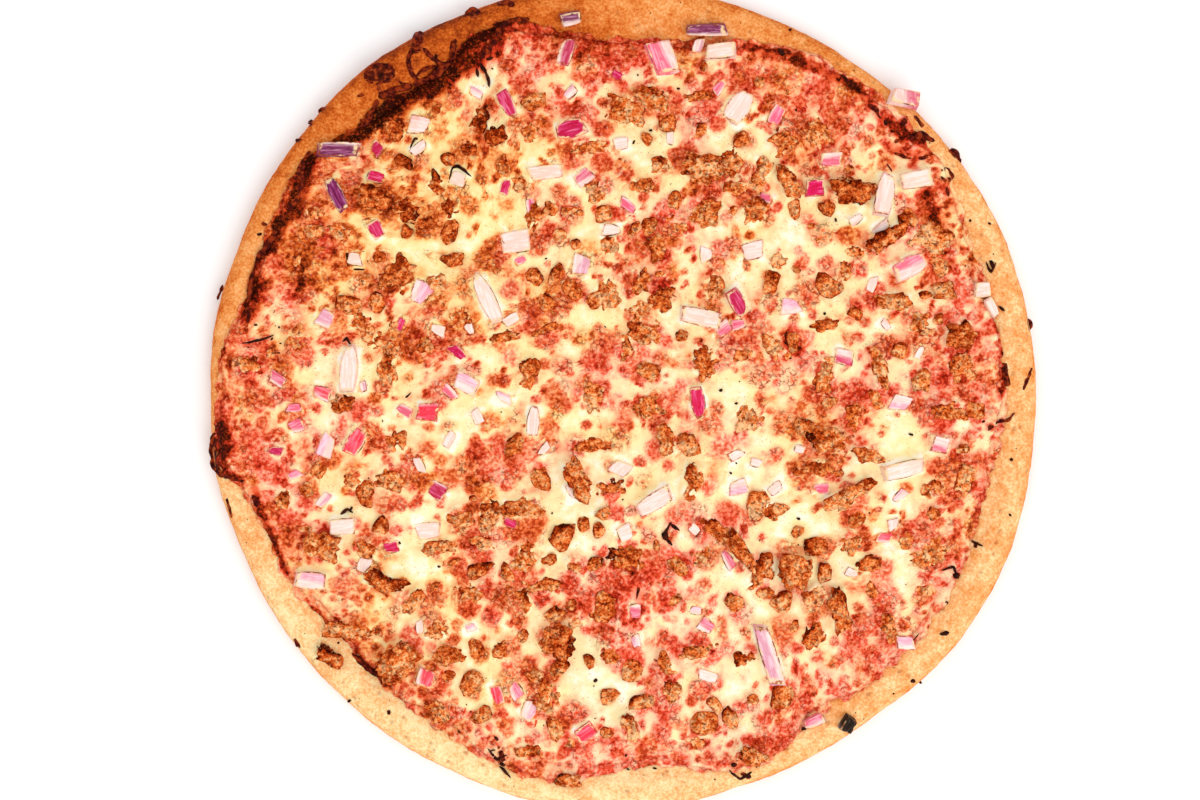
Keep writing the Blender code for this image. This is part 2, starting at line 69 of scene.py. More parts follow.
# Azimuth and half width in degrees, reach in mm: where the outline and the sauce swell or fall in.
rimSwells = [
    (45, 8, -1.2), (62, 15, -3.2), (128, 20, 1.2), (190, 6, 1.0),
    (209, 9, -1.0), (268, 12, 1.1), (295, 16, -2.4), (335, 16, 2.0),
]
sauceRuns = [
    (0, 10, 1), (38, 9, 6), (52, 8, 4.5), (63, 6, 3), (76, 9, -4), (90, 9, -9), (104, 5, 1),
    (111, 6, 5), (121, 6, -3.5), (146, 6, 6.5), (154, 5, 2), (165, 9, 4), (179, 8, 10),
    (188, 5, 11), (196, 4, 3), (210, 6, 2), (220, 7, -3.5), (232, 8, -1), (250, 8, 2),
    (260, 8, 5), (271, 8, -3.5), (290, 7, 5.5), (301, 5, -2), (320, 6, 1), (331, 6, 1.5),
    (344, 7, -1.5),
]
cheeseWaves = [  # length mm, height mm, direction and phase in degrees
    (64, 0.45, 20, 0), (47, 0.40, 98, 70), (35, 0.35, 152, 200),
    (28, 0.30, 61, 310), (22, 0.25, 118, 130), (17, 0.20, 5, 250),
]


# Numbers that look random but are fixed: whole-number cells are mixed by large odd factors.
def scrambled(cells, seed):
    cells = cells.astype(np.int64)
    mixed = cells[..., 0] * 374761393 + cells[..., 1] * 668265263 + cells[..., 2] * 974634777
    mixed = mixed + seed * 982451653
    mixed = (mixed ^ (mixed >> 13)) & 0xFFFFFFFF
    mixed = (mixed * 1274126177) & 0xFFFFFFFF
    mixed = mixed ^ (mixed >> 16)
    return (mixed & 0xFFFFFF) / float(0x1000000)


# Gradient noise: each corner of a point's cell has a fixed direction; the dot products of direction
# and offset are blended with the fade 6t^5 - 15t^4 + 10t^3. About -1 to 1.
def noise(points, size, seed):
    place = points / size
    base = np.floor(place)
    part = place - base
    fade = part ** 3 * (part * (part * 6 - 15) + 10)
    total = np.zeros(len(place))
    for corner in np.ndindex(2, 2, 2):
        cell = base + corner
        offset = part - corner
        turn = scrambled(cell, seed) * 2 * pi
        rise = scrambled(cell, seed + 77) * 2 - 1
        flat = np.sqrt(1 - rise ** 2)
        dot = offset[:, 0] * flat * np.cos(turn) + offset[:, 1] * flat * np.sin(turn) + offset[:, 2] * rise
        weight = np.prod(np.where(corner, fade, 1 - fade), axis=1)
        total += dot * weight
    return total * 1.6


# A sum of noises, each of half the size and a little over half the height of the one before.
def layered(points, size, seed, octaves=4, keep=0.55):
    total = np.zeros(len(points))
    height = 1.0
    for octave in range(octaves):
        total += height * noise(points, size / 2 ** octave, seed + 13 * octave)
        height *= keep
    return total


# Cell noise: every cell holds one point, and this gives the distance to the nearest of them in cells
# and a fixed number for it. Flat cells are columns along z.
def cells(points, size, seed, flat=False):
    spread = (1, 1, 0) if flat else (1, 1, 1)
    place = points / size * spread
    base = np.floor(place)
    near = np.full(len(place), 9.0)
    name = np.zeros(len(place))
    for step in np.ndindex(3, 3, 1 if flat else 3):
        cell = base + (np.array(step) - 1) * spread
        jitter = np.stack([scrambled(cell, seed + k) for k in (1, 2, 3)], axis=1) * spread
        away = np.linalg.norm(cell + jitter - place, axis=1)
        closer = away < near
        name = np.where(closer, scrambled(cell, seed + 9), name)
        near = np.where(closer, away, near)
    return near, name


def ease(low, high, value):  # 0 below low, 1 above high, smooth between
    share = np.clip((value - low) / (high - low), 0, 1)
    return share * share * (3 - 2 * share)


# A sum of raised cosines over azimuth, in the units of reach.
def swell(azimuth, runs):
    total = np.zeros_like(azimuth)
    for centre, half, reach in runs:
        away = np.abs((azimuth - centre + 180) % 360 - 180)
        total += np.where(away < half * 2, reach * 0.5 * (1 + np.cos(pi * away / (half * 2))), 0)
    return total


def ripple(azimuth, waves):
    return sum(reach * np.sin(np.radians(azimuth * count + phase)) for count, reach, phase in waves)


def outline(azimuth):  # mm from the middle to the outer edge
    return pizza["diameter"] / 2 + swell(azimuth, rimSwells) + ripple(azimuth, outlineRipples)


def sauceEdge(azimuth):
    return np.minimum(pizza["toppingRadius"] + swell(azimuth, sauceRuns), outline(azimuth) - rimIn[2])


def cheeseEdge(azimuth):
    return sauceEdge(azimuth) - pizza["cheeseInset"] + ripple(azimuth, cheeseRipples)


# The dough's top: straight between the section's points, raised where the rim puffs.
def crustHeight(azimuth, radius):
    height = np.interp(outline(azimuth) - radius, rimIn, rimUp)
    raised = np.maximum(0, height - pizza["basin"])
    return np.minimum(height, pizza["basin"]) + raised * (1 + ripple(azimuth, rimPuffs))


def sauceBottom(azimuth, radius):
    height = crustHeight(azimuth, radius)
    climb = (height - pizza["basin"]) / (pizza["crown"] - pizza["basin"])
    return height + pizza["gap"] + pizza["rimGap"] * climb


def cheeseBottom(azimuth, radius):
    return sauceBottom(azimuth, radius) + pizza["sauce"] + pizza["gap"]


# The solid's cheese surface: thin at its edge, with long waves inside.
def cheeseTop(azimuth, radius):
    x, y = onCircle(radius, azimuth)
    waves = np.zeros_like(x)
    for length, height, direction, phase in cheeseWaves:
        along = x * np.cos(radians(direction)) + y * np.sin(radians(direction))
        waves += height * np.sin(2 * pi * along / length + radians(phase))
    eased = ease(0, 1, (cheeseEdge(azimuth) - radius) / pizza["cheeseTaper"])
    thin = pizza["cheeseEdge"]
    return cheeseBottom(azimuth, radius) + thin + (pizza["cheese"] - thin + waves) * eased


def onPizza(places):  # photograph pixels to mm on the pizza
    places = np.asarray(places, float)
    x = (places[..., 0] - photo["centre"][0]) * pixel
    y = (photo["centre"][1] - places[..., 1]) * pixel
    return np.stack([x, y], axis=-1)


def polar(x, y):
    return np.degrees(np.arctan2(y, x)) % 360, np.hypot(x, y)


def onCircle(radius, azimuth):
    return radius * np.cos(np.radians(azimuth)), radius * np.sin(np.radians(azimuth))


def laidFlat(x, y):  # points at height 0
    return np.stack([x, y, np.zeros_like(x)], axis=1)


# A sum of bell shapes over x and y, for rows of a pixel place, a reach in pixels and a height.
def bells(x, y, rows):
    total = np.zeros(len(x))
    for px, py, reach, height in rows:
        middleX, middleY = onPizza((px, py))
        total += height * np.exp(-((x - middleX) ** 2 + (y - middleY) ** 2) / (reach * pixel) ** 2)
    return total


# How near each spot is to a chain of straight stretches: the smallest distance to any of them.
def awayFromPath(x, y, path):
    chain = onPizza(path)
    best = np.full(np.shape(x), 1e9)
    for (ax, ay), (bx, by) in zip(chain, chain[1:]):
        length = max(1e-9, (bx - ax) ** 2 + (by - ay) ** 2)
        share = np.clip(((x - ax) * (bx - ax) + (y - ay) * (by - ay)) / length, 0, 1)
        best = np.minimum(best, np.hypot(x - ax - share * (bx - ax), y - ay - share * (by - ay)))
    return best


# Puts points (mm), faces and values for the material into a new object, smooth shaded.
def makePiece(name, points, faces, material, values={}):
    mesh = bpy.data.meshes.new(name)
    faces = faces if isinstance(faces, list) else faces.tolist()
    mesh.from_pydata((points * mm).tolist(), [], faces)
    mesh.update()
    mesh.polygons.foreach_set("use_smooth", np.ones(len(mesh.polygons), bool))
    for key, value in values.items():
        value = np.asarray(value, np.float32)
        kind = "FLOAT" if value.ndim == 1 else "FLOAT_VECTOR"
        layer = mesh.attributes.new(key, kind, "POINT")
        layer.data.foreach_set("value" if value.ndim == 1 else "vector", value.ravel())
    mesh.materials.append(material)
    piece = bpy.data.objects.new(name, mesh)
    bpy.context.scene.collection.objects.link(piece)
    print(name, len(points), "points", len(faces), "faces")
    return piece


# Quads between neighbouring rows of a grid whose columns close on themselves.
def ringFaces(rows, columns):
    index = np.arange(rows * columns).reshape(rows, columns)
    after = np.roll(index, -1, axis=1)
    return np.stack([index[:-1], after[:-1], after[1:], index[1:]], axis=-1).reshape(-1, 4)


def gathered(keys, rows):  # the rows' values, put together under their keys
    return {key: np.concatenate([row[k] for row in rows]) for k, key in enumerate(keys)}


# Materials are built from short helpers that each add a node or a few and return their output.
class Shader:
    def __init__(self, name):
        self.material = bpy.data.materials.new(name)
        self.material.use_nodes = True
        self.tree = self.material.node_tree
        self.surface = self.tree.nodes["Principled BSDF"]
        self.place = self.tree.nodes.new("ShaderNodeTexCoord").outputs["Object"]

    def node(self, kind, **settings):
        node = self.tree.nodes.new(kind)
        for key, value in settings.items():
            setattr(node, key, value)
        return node

    def put(self, socket, value):
        if isinstance(value, bpy.types.NodeSocket):
            self.tree.links.new(value, socket)
        else:
            socket.default_value = value

    def value(self, name):  # a number stored on the mesh
        return self.node("ShaderNodeAttribute", attribute_name=name).outputs["Fac"]

    def vector(self, name):  # a vector or colour stored on the mesh
        return self.node("ShaderNodeAttribute", attribute_name=name).outputs["Vector"]

    def grain(self, size, detail=3.0, place=None, rough=0.55):  # noise, size in mm
        node = self.node("ShaderNodeTexNoise")
        self.put(node.inputs["Vector"], place or self.place)
        node.inputs["Scale"].default_value = 1 / (size * mm)
        node.inputs["Detail"].default_value = detail
        node.inputs["Roughness"].default_value = rough
        return node.outputs["Fac"]

    def patches(self, size, detail, low, high, outLow=0.0, outHigh=1.0):  # noise with its range moved
        return self.span(self.grain(size, detail), low, high, outLow, outHigh)

    def cell(self, size, feature="F1", place=None):  # cell noise, size in mm
        node = self.node("ShaderNodeTexVoronoi", feature=feature)
        self.put(node.inputs["Vector"], place or self.place)
        node.inputs["Scale"].default_value = 1 / (size * mm)
        return node

    def warped(self, size, reach):  # places pushed about by noise, both in mm
        noise = self.node("ShaderNodeTexNoise")
        self.put(noise.inputs["Vector"], self.place)
        noise.inputs["Scale"].default_value = 1 / (size * mm)
        moved = self.node("ShaderNodeVectorMath", operation="MULTIPLY_ADD")
        self.put(moved.inputs[0], noise.outputs["Color"])
        moved.inputs[1].default_value = (reach * mm,) * 3
        self.put(moved.inputs[2], self.place)
        return moved.outputs[0]

    def veins(self, size, wide, gapSize=3.0):  # broken dark lines between grains of a size in mm
        edges = self.cell(size, "DISTANCE_TO_EDGE", self.warped(size * 0.7, size * 0.6))
        lines = self.span(edges.outputs["Distance"], wide * 0.2, wide, 1.0, 0.0)
        return self.times(lines, self.patches(gapSize, 2, 0.42, 0.58))

    def math(self, kind, a, b=0.0, c=0.0):
        node = self.node("ShaderNodeMath", operation=kind)
        for socket, value in zip(node.inputs, (a, b, c)):
            self.put(socket, value)
        return node.outputs[0]

    def plus(self, first, *others):
        for other in others:
            first = self.math("ADD", first, other)
        return first

    def times(self, a, b):
        return self.math("MULTIPLY", a, b)

    def span(self, value, low, high, outLow=0.0, outHigh=1.0):  # a value's range moved to another
        node = self.node("ShaderNodeMapRange", interpolation_type="SMOOTHSTEP")
        for socket, given in zip(node.inputs, (value, low, high, outLow, outHigh)):
            self.put(socket, given)
        return node.outputs[0]

    def ramp(self, value, stops):  # stops are (place, "rrggbb")
        node = self.node("ShaderNodeValToRGB")
        self.put(node.inputs[0], value)
        colours = node.color_ramp.elements
        while len(colours) < len(stops):
            colours.new(0.5)
        for element, (place, colour) in zip(colours, stops):
            element.position = place
            element.color = linear(colour)
        return node.outputs[0]

    def mix(self, share, a, b, kind="MIX"):
        node = self.node("ShaderNodeMix", data_type="RGBA", blend_type=kind)
        self.put(node.inputs["Factor"], share)
        self.put(node.inputs["A"], a)
        self.put(node.inputs["B"], b)
        return node.outputs["Result"]

    def bump(self, height, depth, strength=1.0):  # depth in mm
        node = self.node("ShaderNodeBump")
        self.put(node.inputs["Height"], height)
        node.inputs["Distance"].default_value = depth * mm
        node.inputs["Strength"].default_value = strength
        return node.outputs[0]

    def finish(self, colour, rough, normal=None, shine=0.5):
        self.put(self.surface.inputs["Base Color"], colour)
        self.put(self.surface.inputs["Roughness"], rough)
        self.surface.inputs["Specular IOR Level"].default_value = shine
        if normal:
            self.put(self.surface.inputs["Normal"], normal)
        return self.material


def linear(code):  # "rrggbb" as shown on a screen to the shader's own scale
    parts = np.array([int(code[i:i + 2], 16) for i in (0, 2, 4)]) / 255
    parts = np.where(parts <= 0.04045, parts / 12.92, ((parts + 0.055) / 1.055) ** 2.4)
    return (*parts.tolist(), 1.0)


# Toppings. Loose ones follow their own CAD nodes; these are turns in degrees and looks.
onionLooks = {  # turn, how far the colour goes from flesh to skin, skin tone, petal share
    "onion_left_slab": (2, 0.75, "purple", 0.2), "onion_left_wedge": (-65, 0.9, "purple", 0.6),
    "onion_dark_triangle": (-60, 0.85, "magenta", 0.5), "onion_top_end": (10, 0.6, "purple", 0.2),
    "onion_top_sliver": (72, 0.7, "magenta", 0.4), "onion_top_block": (-70, 0.6, "pink", 0.1),
    "onion_rim_slab": (2, 0.7, "purple", 0.2), "onion_rim_block": (8, 0.15, "peach", 0.1),
    "onion_white_petal": (55, 0.12, "blush", 0.6), "onion_diamond": (20, 0.95, "magenta", 0.5),
    "onion_sauce_dice": (0, 0.6, "pink", 0.1), "onion_magenta_dice": (8, 1.0, "magenta", 0.0),
    "onion_long_petal": (78, 0.3, "blush", 0.5), "onion_white_block": (12, 0.1, "peach", 0.1),
    "onion_over_edge": (82, 0.5, "pink", 0.0), "onion_right_petal": (28, 0.5, "pink", 0.5),
    "onion_rose_half": (62, 0.85, "rose", 0.5), "onion_rose_square": (-5, 0.9, "rose", 0.0),
    "onion_split_dice": (-25, 0.5, "lilac", 0.1), "onion_cream_petal": (86, 0.1, "blush", 0.8),
    "onion_long_white": (-65, 0.12, "blush", 0.7), "onion_snow_block": (8, 0.08, "blush", 0.1),
    "onion_striped_petal": (-78, 0.9, "magenta", 0.6), "onion_magenta_wedge": (-60, 0.9, "magenta", 0.5),
    "onion_wide_slab": (-12, 0.12, "peach", 0.2), "onion_middle_petal": (85, 0.15, "blush", 0.6),
    "onion_big_white": (32, 0.1, "blush", 0.3), "onion_framed_dice": (-10, 0.45, "pink", 0.0),
    "onion_pale_slab": (15, 0.15, "peach", 0.3), "onion_blush_block": (-8, 0.5, "lilac", 0.3),
    "onion_coral_dice": (70, 0.7, "rose", 0.1), "onion_ruby_dice": (35, 0.9, "rose", 0.1),
    "onion_long_strip": (-72, 0.65, "lilac", 0.2), "onion_charred_dice": (60, 1.0, "char", 0.1),
}
crumbTurns = {
    "crumb_top_twin": -20, "crumb_top_heap": -15, "crumb_tall": -62, "crumb_dark_heap": -15,
    "crumb_right_roll": 33, "crumb_left_heap": -20, "crumb_centre_roll": -80, "crumb_centre_long": -65,
    "crumb_right_cap": 0, "crumb_slant": 32, "crumb_right_loaf": 0, "crumb_upright": -78,
    "crumb_left_cap": -25, "crumb_left_long": -18, "crumb_low_heap": 40, "crumb_low_round": 70,
    "crumb_low_roll": -68, "crumb_curl": -55, "crumb_clover": 60, "crumb_pillar": -78,
    "crumb_low_loaf": -20, "crumb_on_rim": -35,
}

# Pieces sunk in the cheese, as in the solid: pixels, then length and width in mm, and turn.
sunkenCrumbs = [
    (437, 185, 11, 6.5, -60), (712, 288, 13, 10, 40), (705, 360, 15, 10, 80), (592, 446, 20, 6.5, 0),
    (816, 468, 17, 7.5, -5), (957, 335, 12, 11, 0), (415, 599, 14, 7.5, 35), (437, 627, 10, 9, 0),
    (452, 655, 14, 9, 10), (547, 697, 13, 11, 80), (545, 585, 18, 6.5, 0), (888, 628, 17, 7, -82),
    (870, 562, 14, 8, 8), (700, 556, 10.5, 8, 15), (529, 375, 15.5, 8, 90), (627, 350, 12, 8, 88),
    (345, 405, 10, 8, 10), (396, 440, 9, 8, 0), (388, 375, 18, 8, 88), (440, 546, 15, 7.5, 5),
    (367, 549, 11, 8, -15), (752, 213, 13, 9, 60), (590, 149, 15, 6.5, 12), (945, 412, 17, 9, 0),
    (850, 415, 12, 8, -80), (693, 480, 14, 9, 80), (612, 487, 13, 7, 15), (523, 507, 16, 9, 10),
    (700, 98, 13, 6, 8), (867, 455, 14, 7, 0), (933, 487, 9.5, 8, 0), (850, 541, 10, 8.5, 60),
    (905, 542, 9, 8, 0), (775, 509, 10, 7, 10), (665, 665, 12, 8, -60), (698, 650, 16, 6, 15),
    (745, 657, 12, 7, 15), (670, 690, 9, 9, 0), (522, 601, 10, 8.5, -50), (345, 630, 17, 7, -5),
    (438, 711, 12, 8, -60), (645, 188, 10, 7, 0), (680, 228, 8, 7, 0), (610, 246, 9, 7, 0),
    (572, 212, 13, 6, 0), (440, 283, 8, 7, 0), (855, 254, 9.5, 6, -10), (845, 270, 9, 7, 80),
    (925, 332, 9, 6, 0), (480, 372, 12, 8, 90), (825, 325, 11, 6, 0), (533, 750, 12, 6, 0),
    (545, 330, 14, 5, 20), (700, 132, 9, 7, 85), (480, 541, 12, 7, 0), (380, 257, 8, 7, 0),
    (575, 566, 9, 6, 0), (320, 470, 8, 7, 60), (300, 345, 9, 8, 0), (250, 365, 9, 8, 30),
]
sunkenOnions = [  # with the share of skin colour and the tone at the end
    (378, 150, 7.5, 7, 45, 0.9, "magenta"), (376, 230, 10, 6, -60, 0.9, "magenta"),
    (420, 125, 9, 8.5, -10, 0.4, "blush"), (458, 179, 10, 7, -25, 0.05, "peach"),
    (355, 260, 8, 7, 0, 0.05, "peach"), (422, 293, 9.5, 9.5, 60, 0.6, "lilac"),
    (774, 118, 10, 8, 60, 0.8, "pink"), (581, 180, 9, 8.5, 40, 0.6, "pink"),
    (545, 172, 13, 7, 2, 0.2, "peach"), (580, 265, 10, 8.5, 75, 0.6, "lilac"),
    (519, 241, 13, 9, 8, 0.1, "blush"), (328, 320, 10, 8.5, -30, 0.7, "lilac"),
    (277, 379, 8, 7.5, -30, 0.7, "pink"), (322, 392, 8, 7.5, -20, 0.7, "rose"),
    (328, 447, 11, 7, 68, 0.5, "lilac"), (458, 351, 8.5, 6.5, -50, 0.95, "magenta"),
    (440, 491, 8.5, 8, -30, 0.8, "magenta"), (427, 530, 10, 7, 0, 0.05, "blush"),
    (620, 468, 8.5, 8.5, 45, 0.05, "blush"), (625, 531, 8.5, 8, 20, 0.05, "blush"),
    (738, 487, 8.5, 7.5, 0, 0.5, "lilac"), (790, 308, 9, 9, 10, 0.6, "lilac"),
    (843, 357, 10, 7, -20, 0.5, "magenta"), (901, 403, 9, 7.5, -15, 0.5, "lilac"),
    (980, 290, 7, 7, 5, 0.05, "peach"), (820, 489, 7, 5.5, 5, 0.8, "pink"),
    (882, 536, 8, 5, -10, 0.7, "rose"), (392, 547, 6.5, 5.5, 15, 0.9, "magenta"),
    (497, 692, 10, 6, -75, 0.8, "rose"), (529, 707, 8.5, 6.5, 60, 0.5, "lilac"),
    (636, 611, 7, 7, 0, 0.7, "pink"), (707, 627, 8, 7.5, -30, 0.6, "pink"),
    (904, 640, 8, 7, 0, 0.6, "lilac"), (855, 617, 10, 6.5, -60, 0.4, "lilac"),
    (749, 252, 11, 8, 10, 0.08, "blush"),
]
smallOnions = [  # bits of 4 to 7 mm: pixels and the share of skin colour
    (376, 178, 0.9), (421, 149, 0.3), (475, 93, 0.4), (617, 76, 0.9), (698, 47, 0.4), (718, 90, 0.7),
    (505, 188, 0.9), (532, 207, 0.7), (629, 207, 0.8), (611, 231, 0.05), (521, 261, 0.8), (620, 145, 0.1),
    (670, 140, 0.1), (765, 200, 0.7), (706, 255, 0.1), (572, 93, 0.4), (855, 220, 0.3), (880, 228, 0.3),
    (295, 407, 0.8), (299, 425, 0.7), (276, 450, 0.9), (405, 410, 0.7), (451, 393, 0.6), (365, 387, 0.5),
    (438, 330, 0.2), (470, 328, 0.1), (402, 325, 0.9), (295, 475, 0.7), (450, 440, 0.1), (420, 463, 0.1),
    (480, 418, 0.1), (512, 320, 0.2), (325, 500, 0.5), (737, 325, 0.7), (722, 330, 0.6), (545, 448, 0.2),
    (572, 491, 0.1), (510, 522, 0.9), (505, 398, 0.4), (735, 455, 0.2), (755, 463, 0.3), (775, 487, 0.1),
    (990, 308, 0.1), (872, 285, 0.2), (898, 495, 0.4), (800, 450, 0.2), (892, 523, 0.2), (885, 325, 0.2),
    (918, 352, 0.2), (470, 628, 0.5), (516, 690, 0.6), (420, 627, 0.05), (365, 565, 0.1), (728, 560, 0.6),
    (636, 640, 0.5), (708, 674, 0.2), (696, 609, 0.5), (695, 530, 0.1), (813, 718, 0.6), (850, 572, 0.1),
]
tones = {
    "magenta": "dc2a6c", "pink": "f6829e", "purple": "8c1264", "rose": "f4566e", "lilac": "f2bccc",
    "blush": "f6cfc6", "peach": "f8c79a", "char": "3c2c20",
}
fleshTone = "fdeae0"


# A CAD node's own place: its middle, its three directions (along, across, up) and half sizes, in mm.
# Up is the direction of its upper faces, along is the given turn laid in that plane.
def nodePlace(name, turn):
    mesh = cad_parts[name].data
    points = np.empty(len(mesh.vertices) * 3)
    mesh.vertices.foreach_get("co", points)
    points = points.reshape(-1, 3) / mm
    normals = np.empty(len(mesh.polygons) * 3)
    mesh.polygons.foreach_get("normal", normals)
    areas = np.empty(len(mesh.polygons))
    mesh.polygons.foreach_get("area", areas)
    normals = normals.reshape(-1, 3)
    below = (normals[:, 2] < -0.9) * areas
    up = -(normals * below[:, None]).sum(axis=0)
    up = up / np.linalg.norm(up) if np.linalg.norm(up) > 0 else np.array([0, 0, 1.0])
    along = np.array([np.cos(radians(turn)), np.sin(radians(turn)), 0])
    along = along - up * (along @ up)
    along /= np.linalg.norm(along)
    axes = np.stack([along, np.cross(up, along), up])
    inside = points @ axes.T
    low, high = inside.min(axis=0), inside.max(axis=0)
    return (low + high) / 2 @ axes, axes, (high - low) / 2


looseOnions = {name: nodePlace(name, look[0]) for name, look in onionLooks.items()}
looseCrumbs = {name: nodePlace(name, turn) for name, turn in crumbTurns.items()}


# True where the oval footprint of a sunken piece stays outside every loose piece's rectangle.
def clearOfLoose(x, y, length, width, turn):
    angles = np.arange(12) * pi / 6
    rim = np.stack([np.cos(angles) * length / 2, np.sin(angles) * width / 2], axis=1)
    c, s = np.cos(radians(turn)), np.sin(radians(turn))
    spots = rim @ np.array([[c, s], [-s, c]]) + (x, y)
    for middle, axes, half in [*looseOnions.values(), *looseCrumbs.values()]:
        offset = (spots - middle[:2]) @ axes[:2, :2].T
        if np.any(np.all(np.abs(offset) < half[:2] + pizza["gap"], axis=1)):
            return False
    return True


def roomFor(row):  # the piece in mm, shrunk as far as it takes to clear the loose ones
    x, y = onPizza(row[:2])
    for share in (1, 0.85, 0.7):
        if clearOfLoose(x, y, row[2] * share, row[3] * share, row[4]):
            return x, y, row[2] * share, row[3] * share
    return None


# A sunken piece's place, like a node's: level, turned, with part of its height above the cheese.
def sunkenPlace(x, y, length, width, turn, height, rise):
    level = float(cheeseTop(*polar(np.array([x]), np.array([y])))[0]) + height * (rise - 0.5)
    c, s = np.cos(radians(turn)), np.sin(radians(turn))
    axes = np.array([[c, s, 0], [-s, c, 0], [0, 0, 1.0]])
    return np.array([x, y, level]), axes, np.array([length, width, height]) / 2


# The rows that find room, each with its place. A crumb's height is a share of its width.
def sunkenPlaces(rows, rise, share=0.0, height=0.0):
    places = []
    for row in rows:
        fitted = roomFor(row)
        if fitted:
            places.append((row, sunkenPlace(*fitted, row[4], fitted[3] * share + height, rise)))
    return places


sunken = {
    "crumb": {"rise": 0.62, "share": 0.75},  # rise is the share of the height above the cheese
    "extraCrumb": {"rise": 0.58, "share": 0.72},
    "onion": {"rise": 0.45, "height": 4.2},
    "smallOnion": {"rise": 0.6, "height": 3.4},
    "onionSizes": (4.6, 7.6),  # mm, of the small ones
    "seed": 7,
}
crumbPlaces = [*looseCrumbs.values()]
crumbPlaces += [place for row, place in sunkenPlaces(sunkenCrumbs, **sunken["crumb"])]
onionPlaces = [(*looseOnions[name], share, tones[tone], petal)
               for name, (turn, share, tone, petal) in onionLooks.items()]
for row, place in sunkenPlaces(sunkenOnions, **sunken["onion"]):
    onionPlaces.append((*place, row[5], tones[row[6]], 0.15))
draw = np.random.default_rng(sunken["seed"])
small = sunken["smallOnion"]
for px, py, share in smallOnions:
    size = draw.uniform(*sunken["onionSizes"])
    turn = draw.uniform(0, 180)
    name = "magenta" if share > 0.8 else "pink" if share > 0.55 else "lilac" if share > 0.3 else "blush"
    x, y = onPizza((px, py))
    place = sunkenPlace(x, y, size * 1.2, size * 0.8, turn, small["height"], small["rise"])
    onionPlaces.append((*place, share, tones[name], 0.3))

# Crumbs that are in the looks only, and where crumbs are darker: pixels, reach and amount.
extraCrumbs = [
    (482, 122, 13, 8, 80), (497, 139, 9, 9, 0), (470, 151, 9, 7, 0), (372, 190, 12, 8, 40),
    (389, 203, 9, 8, 0), (410, 212, 13, 9, -20), (427, 224, 9, 7, 20), (450, 209, 9, 7, 60),
    (521, 186, 9, 7, 0), (551, 209, 8, 7, 0), (537, 217, 11, 8, 60), (494, 268, 13, 9, -30),
    (361, 322, 9, 7, 0), (400, 326, 7, 6, 0), (425, 346, 10, 8, 30), (508, 337, 16, 6, 8),
    (495, 318, 8, 6, 0), (462, 318, 9, 8, 0), (341, 232, 12, 7, -40), (318, 214, 8, 7, 0),
    (530, 132, 9, 7, 20), (594, 192, 9, 8, 0), (660, 168, 9, 7, 10), (737, 188, 10, 8, 0),
    (780, 262, 8, 6, 0), (640, 282, 12, 8, 80), (770, 345, 12, 8, -60), (742, 356, 8, 7, 0),
    (640, 312, 10, 8, 20), (918, 322, 11, 8, 0), (305, 528, 9, 7, 0), (352, 480, 9, 8, 10),
    (285, 500, 9, 7, 50), (468, 592, 10, 8, 0), (500, 650, 9, 8, 0), (575, 622, 9, 8, 30),
    (610, 652, 10, 7, 0), (812, 596, 10, 8, 40), (772, 566, 9, 7, 0), (922, 590, 9, 7, 0),
    (570, 778, 11, 6, 0), (742, 750, 16, 7, -25), (698, 742, 9, 7, 0), (300, 588, 9, 7, -30),
    (370, 632, 9, 7, 0),
]
darkPlaces = [
    (430, 190, 75, 0.14), (398, 204, 36, 0.22), (486, 134, 28, 0.2), (705, 360, 14, 0.15),
    (816, 466, 18, 0.2), (345, 405, 14, 0.2), (750, 657, 14, 0.15), (858, 192, 18, 0.1),
    (423, 340, 24, 0.14), (370, 252, 16, 0.14), (957, 335, 14, 0.16), (712, 288, 12, 0.1),
    (495, 130, 26, 0.14), (640, 600, 34, 0.08), (590, 446, 16, 0.06), (470, 540, 40, 0.05),
]
moreCrumbs = {
    "count": 150,
    "large": 30,  # the longest ones, made finer
    "tries": 9000,
    "fewer": 13000,  # tries over which the greatest length would fall to nothing
    "short": 4.5,  # mm, as the next four
    "long": 17.0,
    "spread": 152,
    "highest": 5.0,
    "apart": 0.6,
    "rise": 0.55,
    "seed": 21,
}


# More crumbs, drawn at random over the topping and kept where they leave the other pieces free.
# They come back with the longest first.
def scatterCrumbs(settings):
    random = np.random.default_rng(settings["seed"])
    taken = [(p[0][0], p[0][1], p[2][0] * 0.7) for p in crumbPlaces]
    taken += [(p[0][0], p[0][1], p[2][0] * 0.85 + settings["apart"]) for p in onionPlaces]
    places = []
    for attempt in range(settings["tries"]):
        if len(places) == settings["count"]:
            break
        x, y = random.uniform(-settings["spread"], settings["spread"], 2)
        most = settings["long"] * (1 - attempt / settings["fewer"])
        length = settings["short"] + (most - settings["short"]) * random.uniform() ** 0.8
        turn = random.uniform(0, 180)
        width = length * random.uniform(0.6, 0.9)
        if np.hypot(x, y) > settings["spread"]:
            continue
        if any(np.hypot(x - tx, y - ty) < reach + length * 0.42 for tx, ty, reach in taken):
            continue
        height = min(width * sunken["crumb"]["share"], settings["highest"])
        places.append(sunkenPlace(x, y, length, width, turn, height, settings["rise"]))
        taken.append((x, y, length * 0.42))
    return sorted(places, key=lambda place: -place[2][0])


crumbPlaces += [place for row, place in sunkenPlaces(extraCrumbs, **sunken["extraCrumb"])]
scattered = scatterCrumbs(moreCrumbs)
crumbPlaces += scattered[:moreCrumbs["large"]]
smallCrumbPlaces = scattered[moreCrumbs["large"]:]
print(len(crumbPlaces), "crumbs", len(smallCrumbPlaces), "small crumbs", len(onionPlaces), "onions")

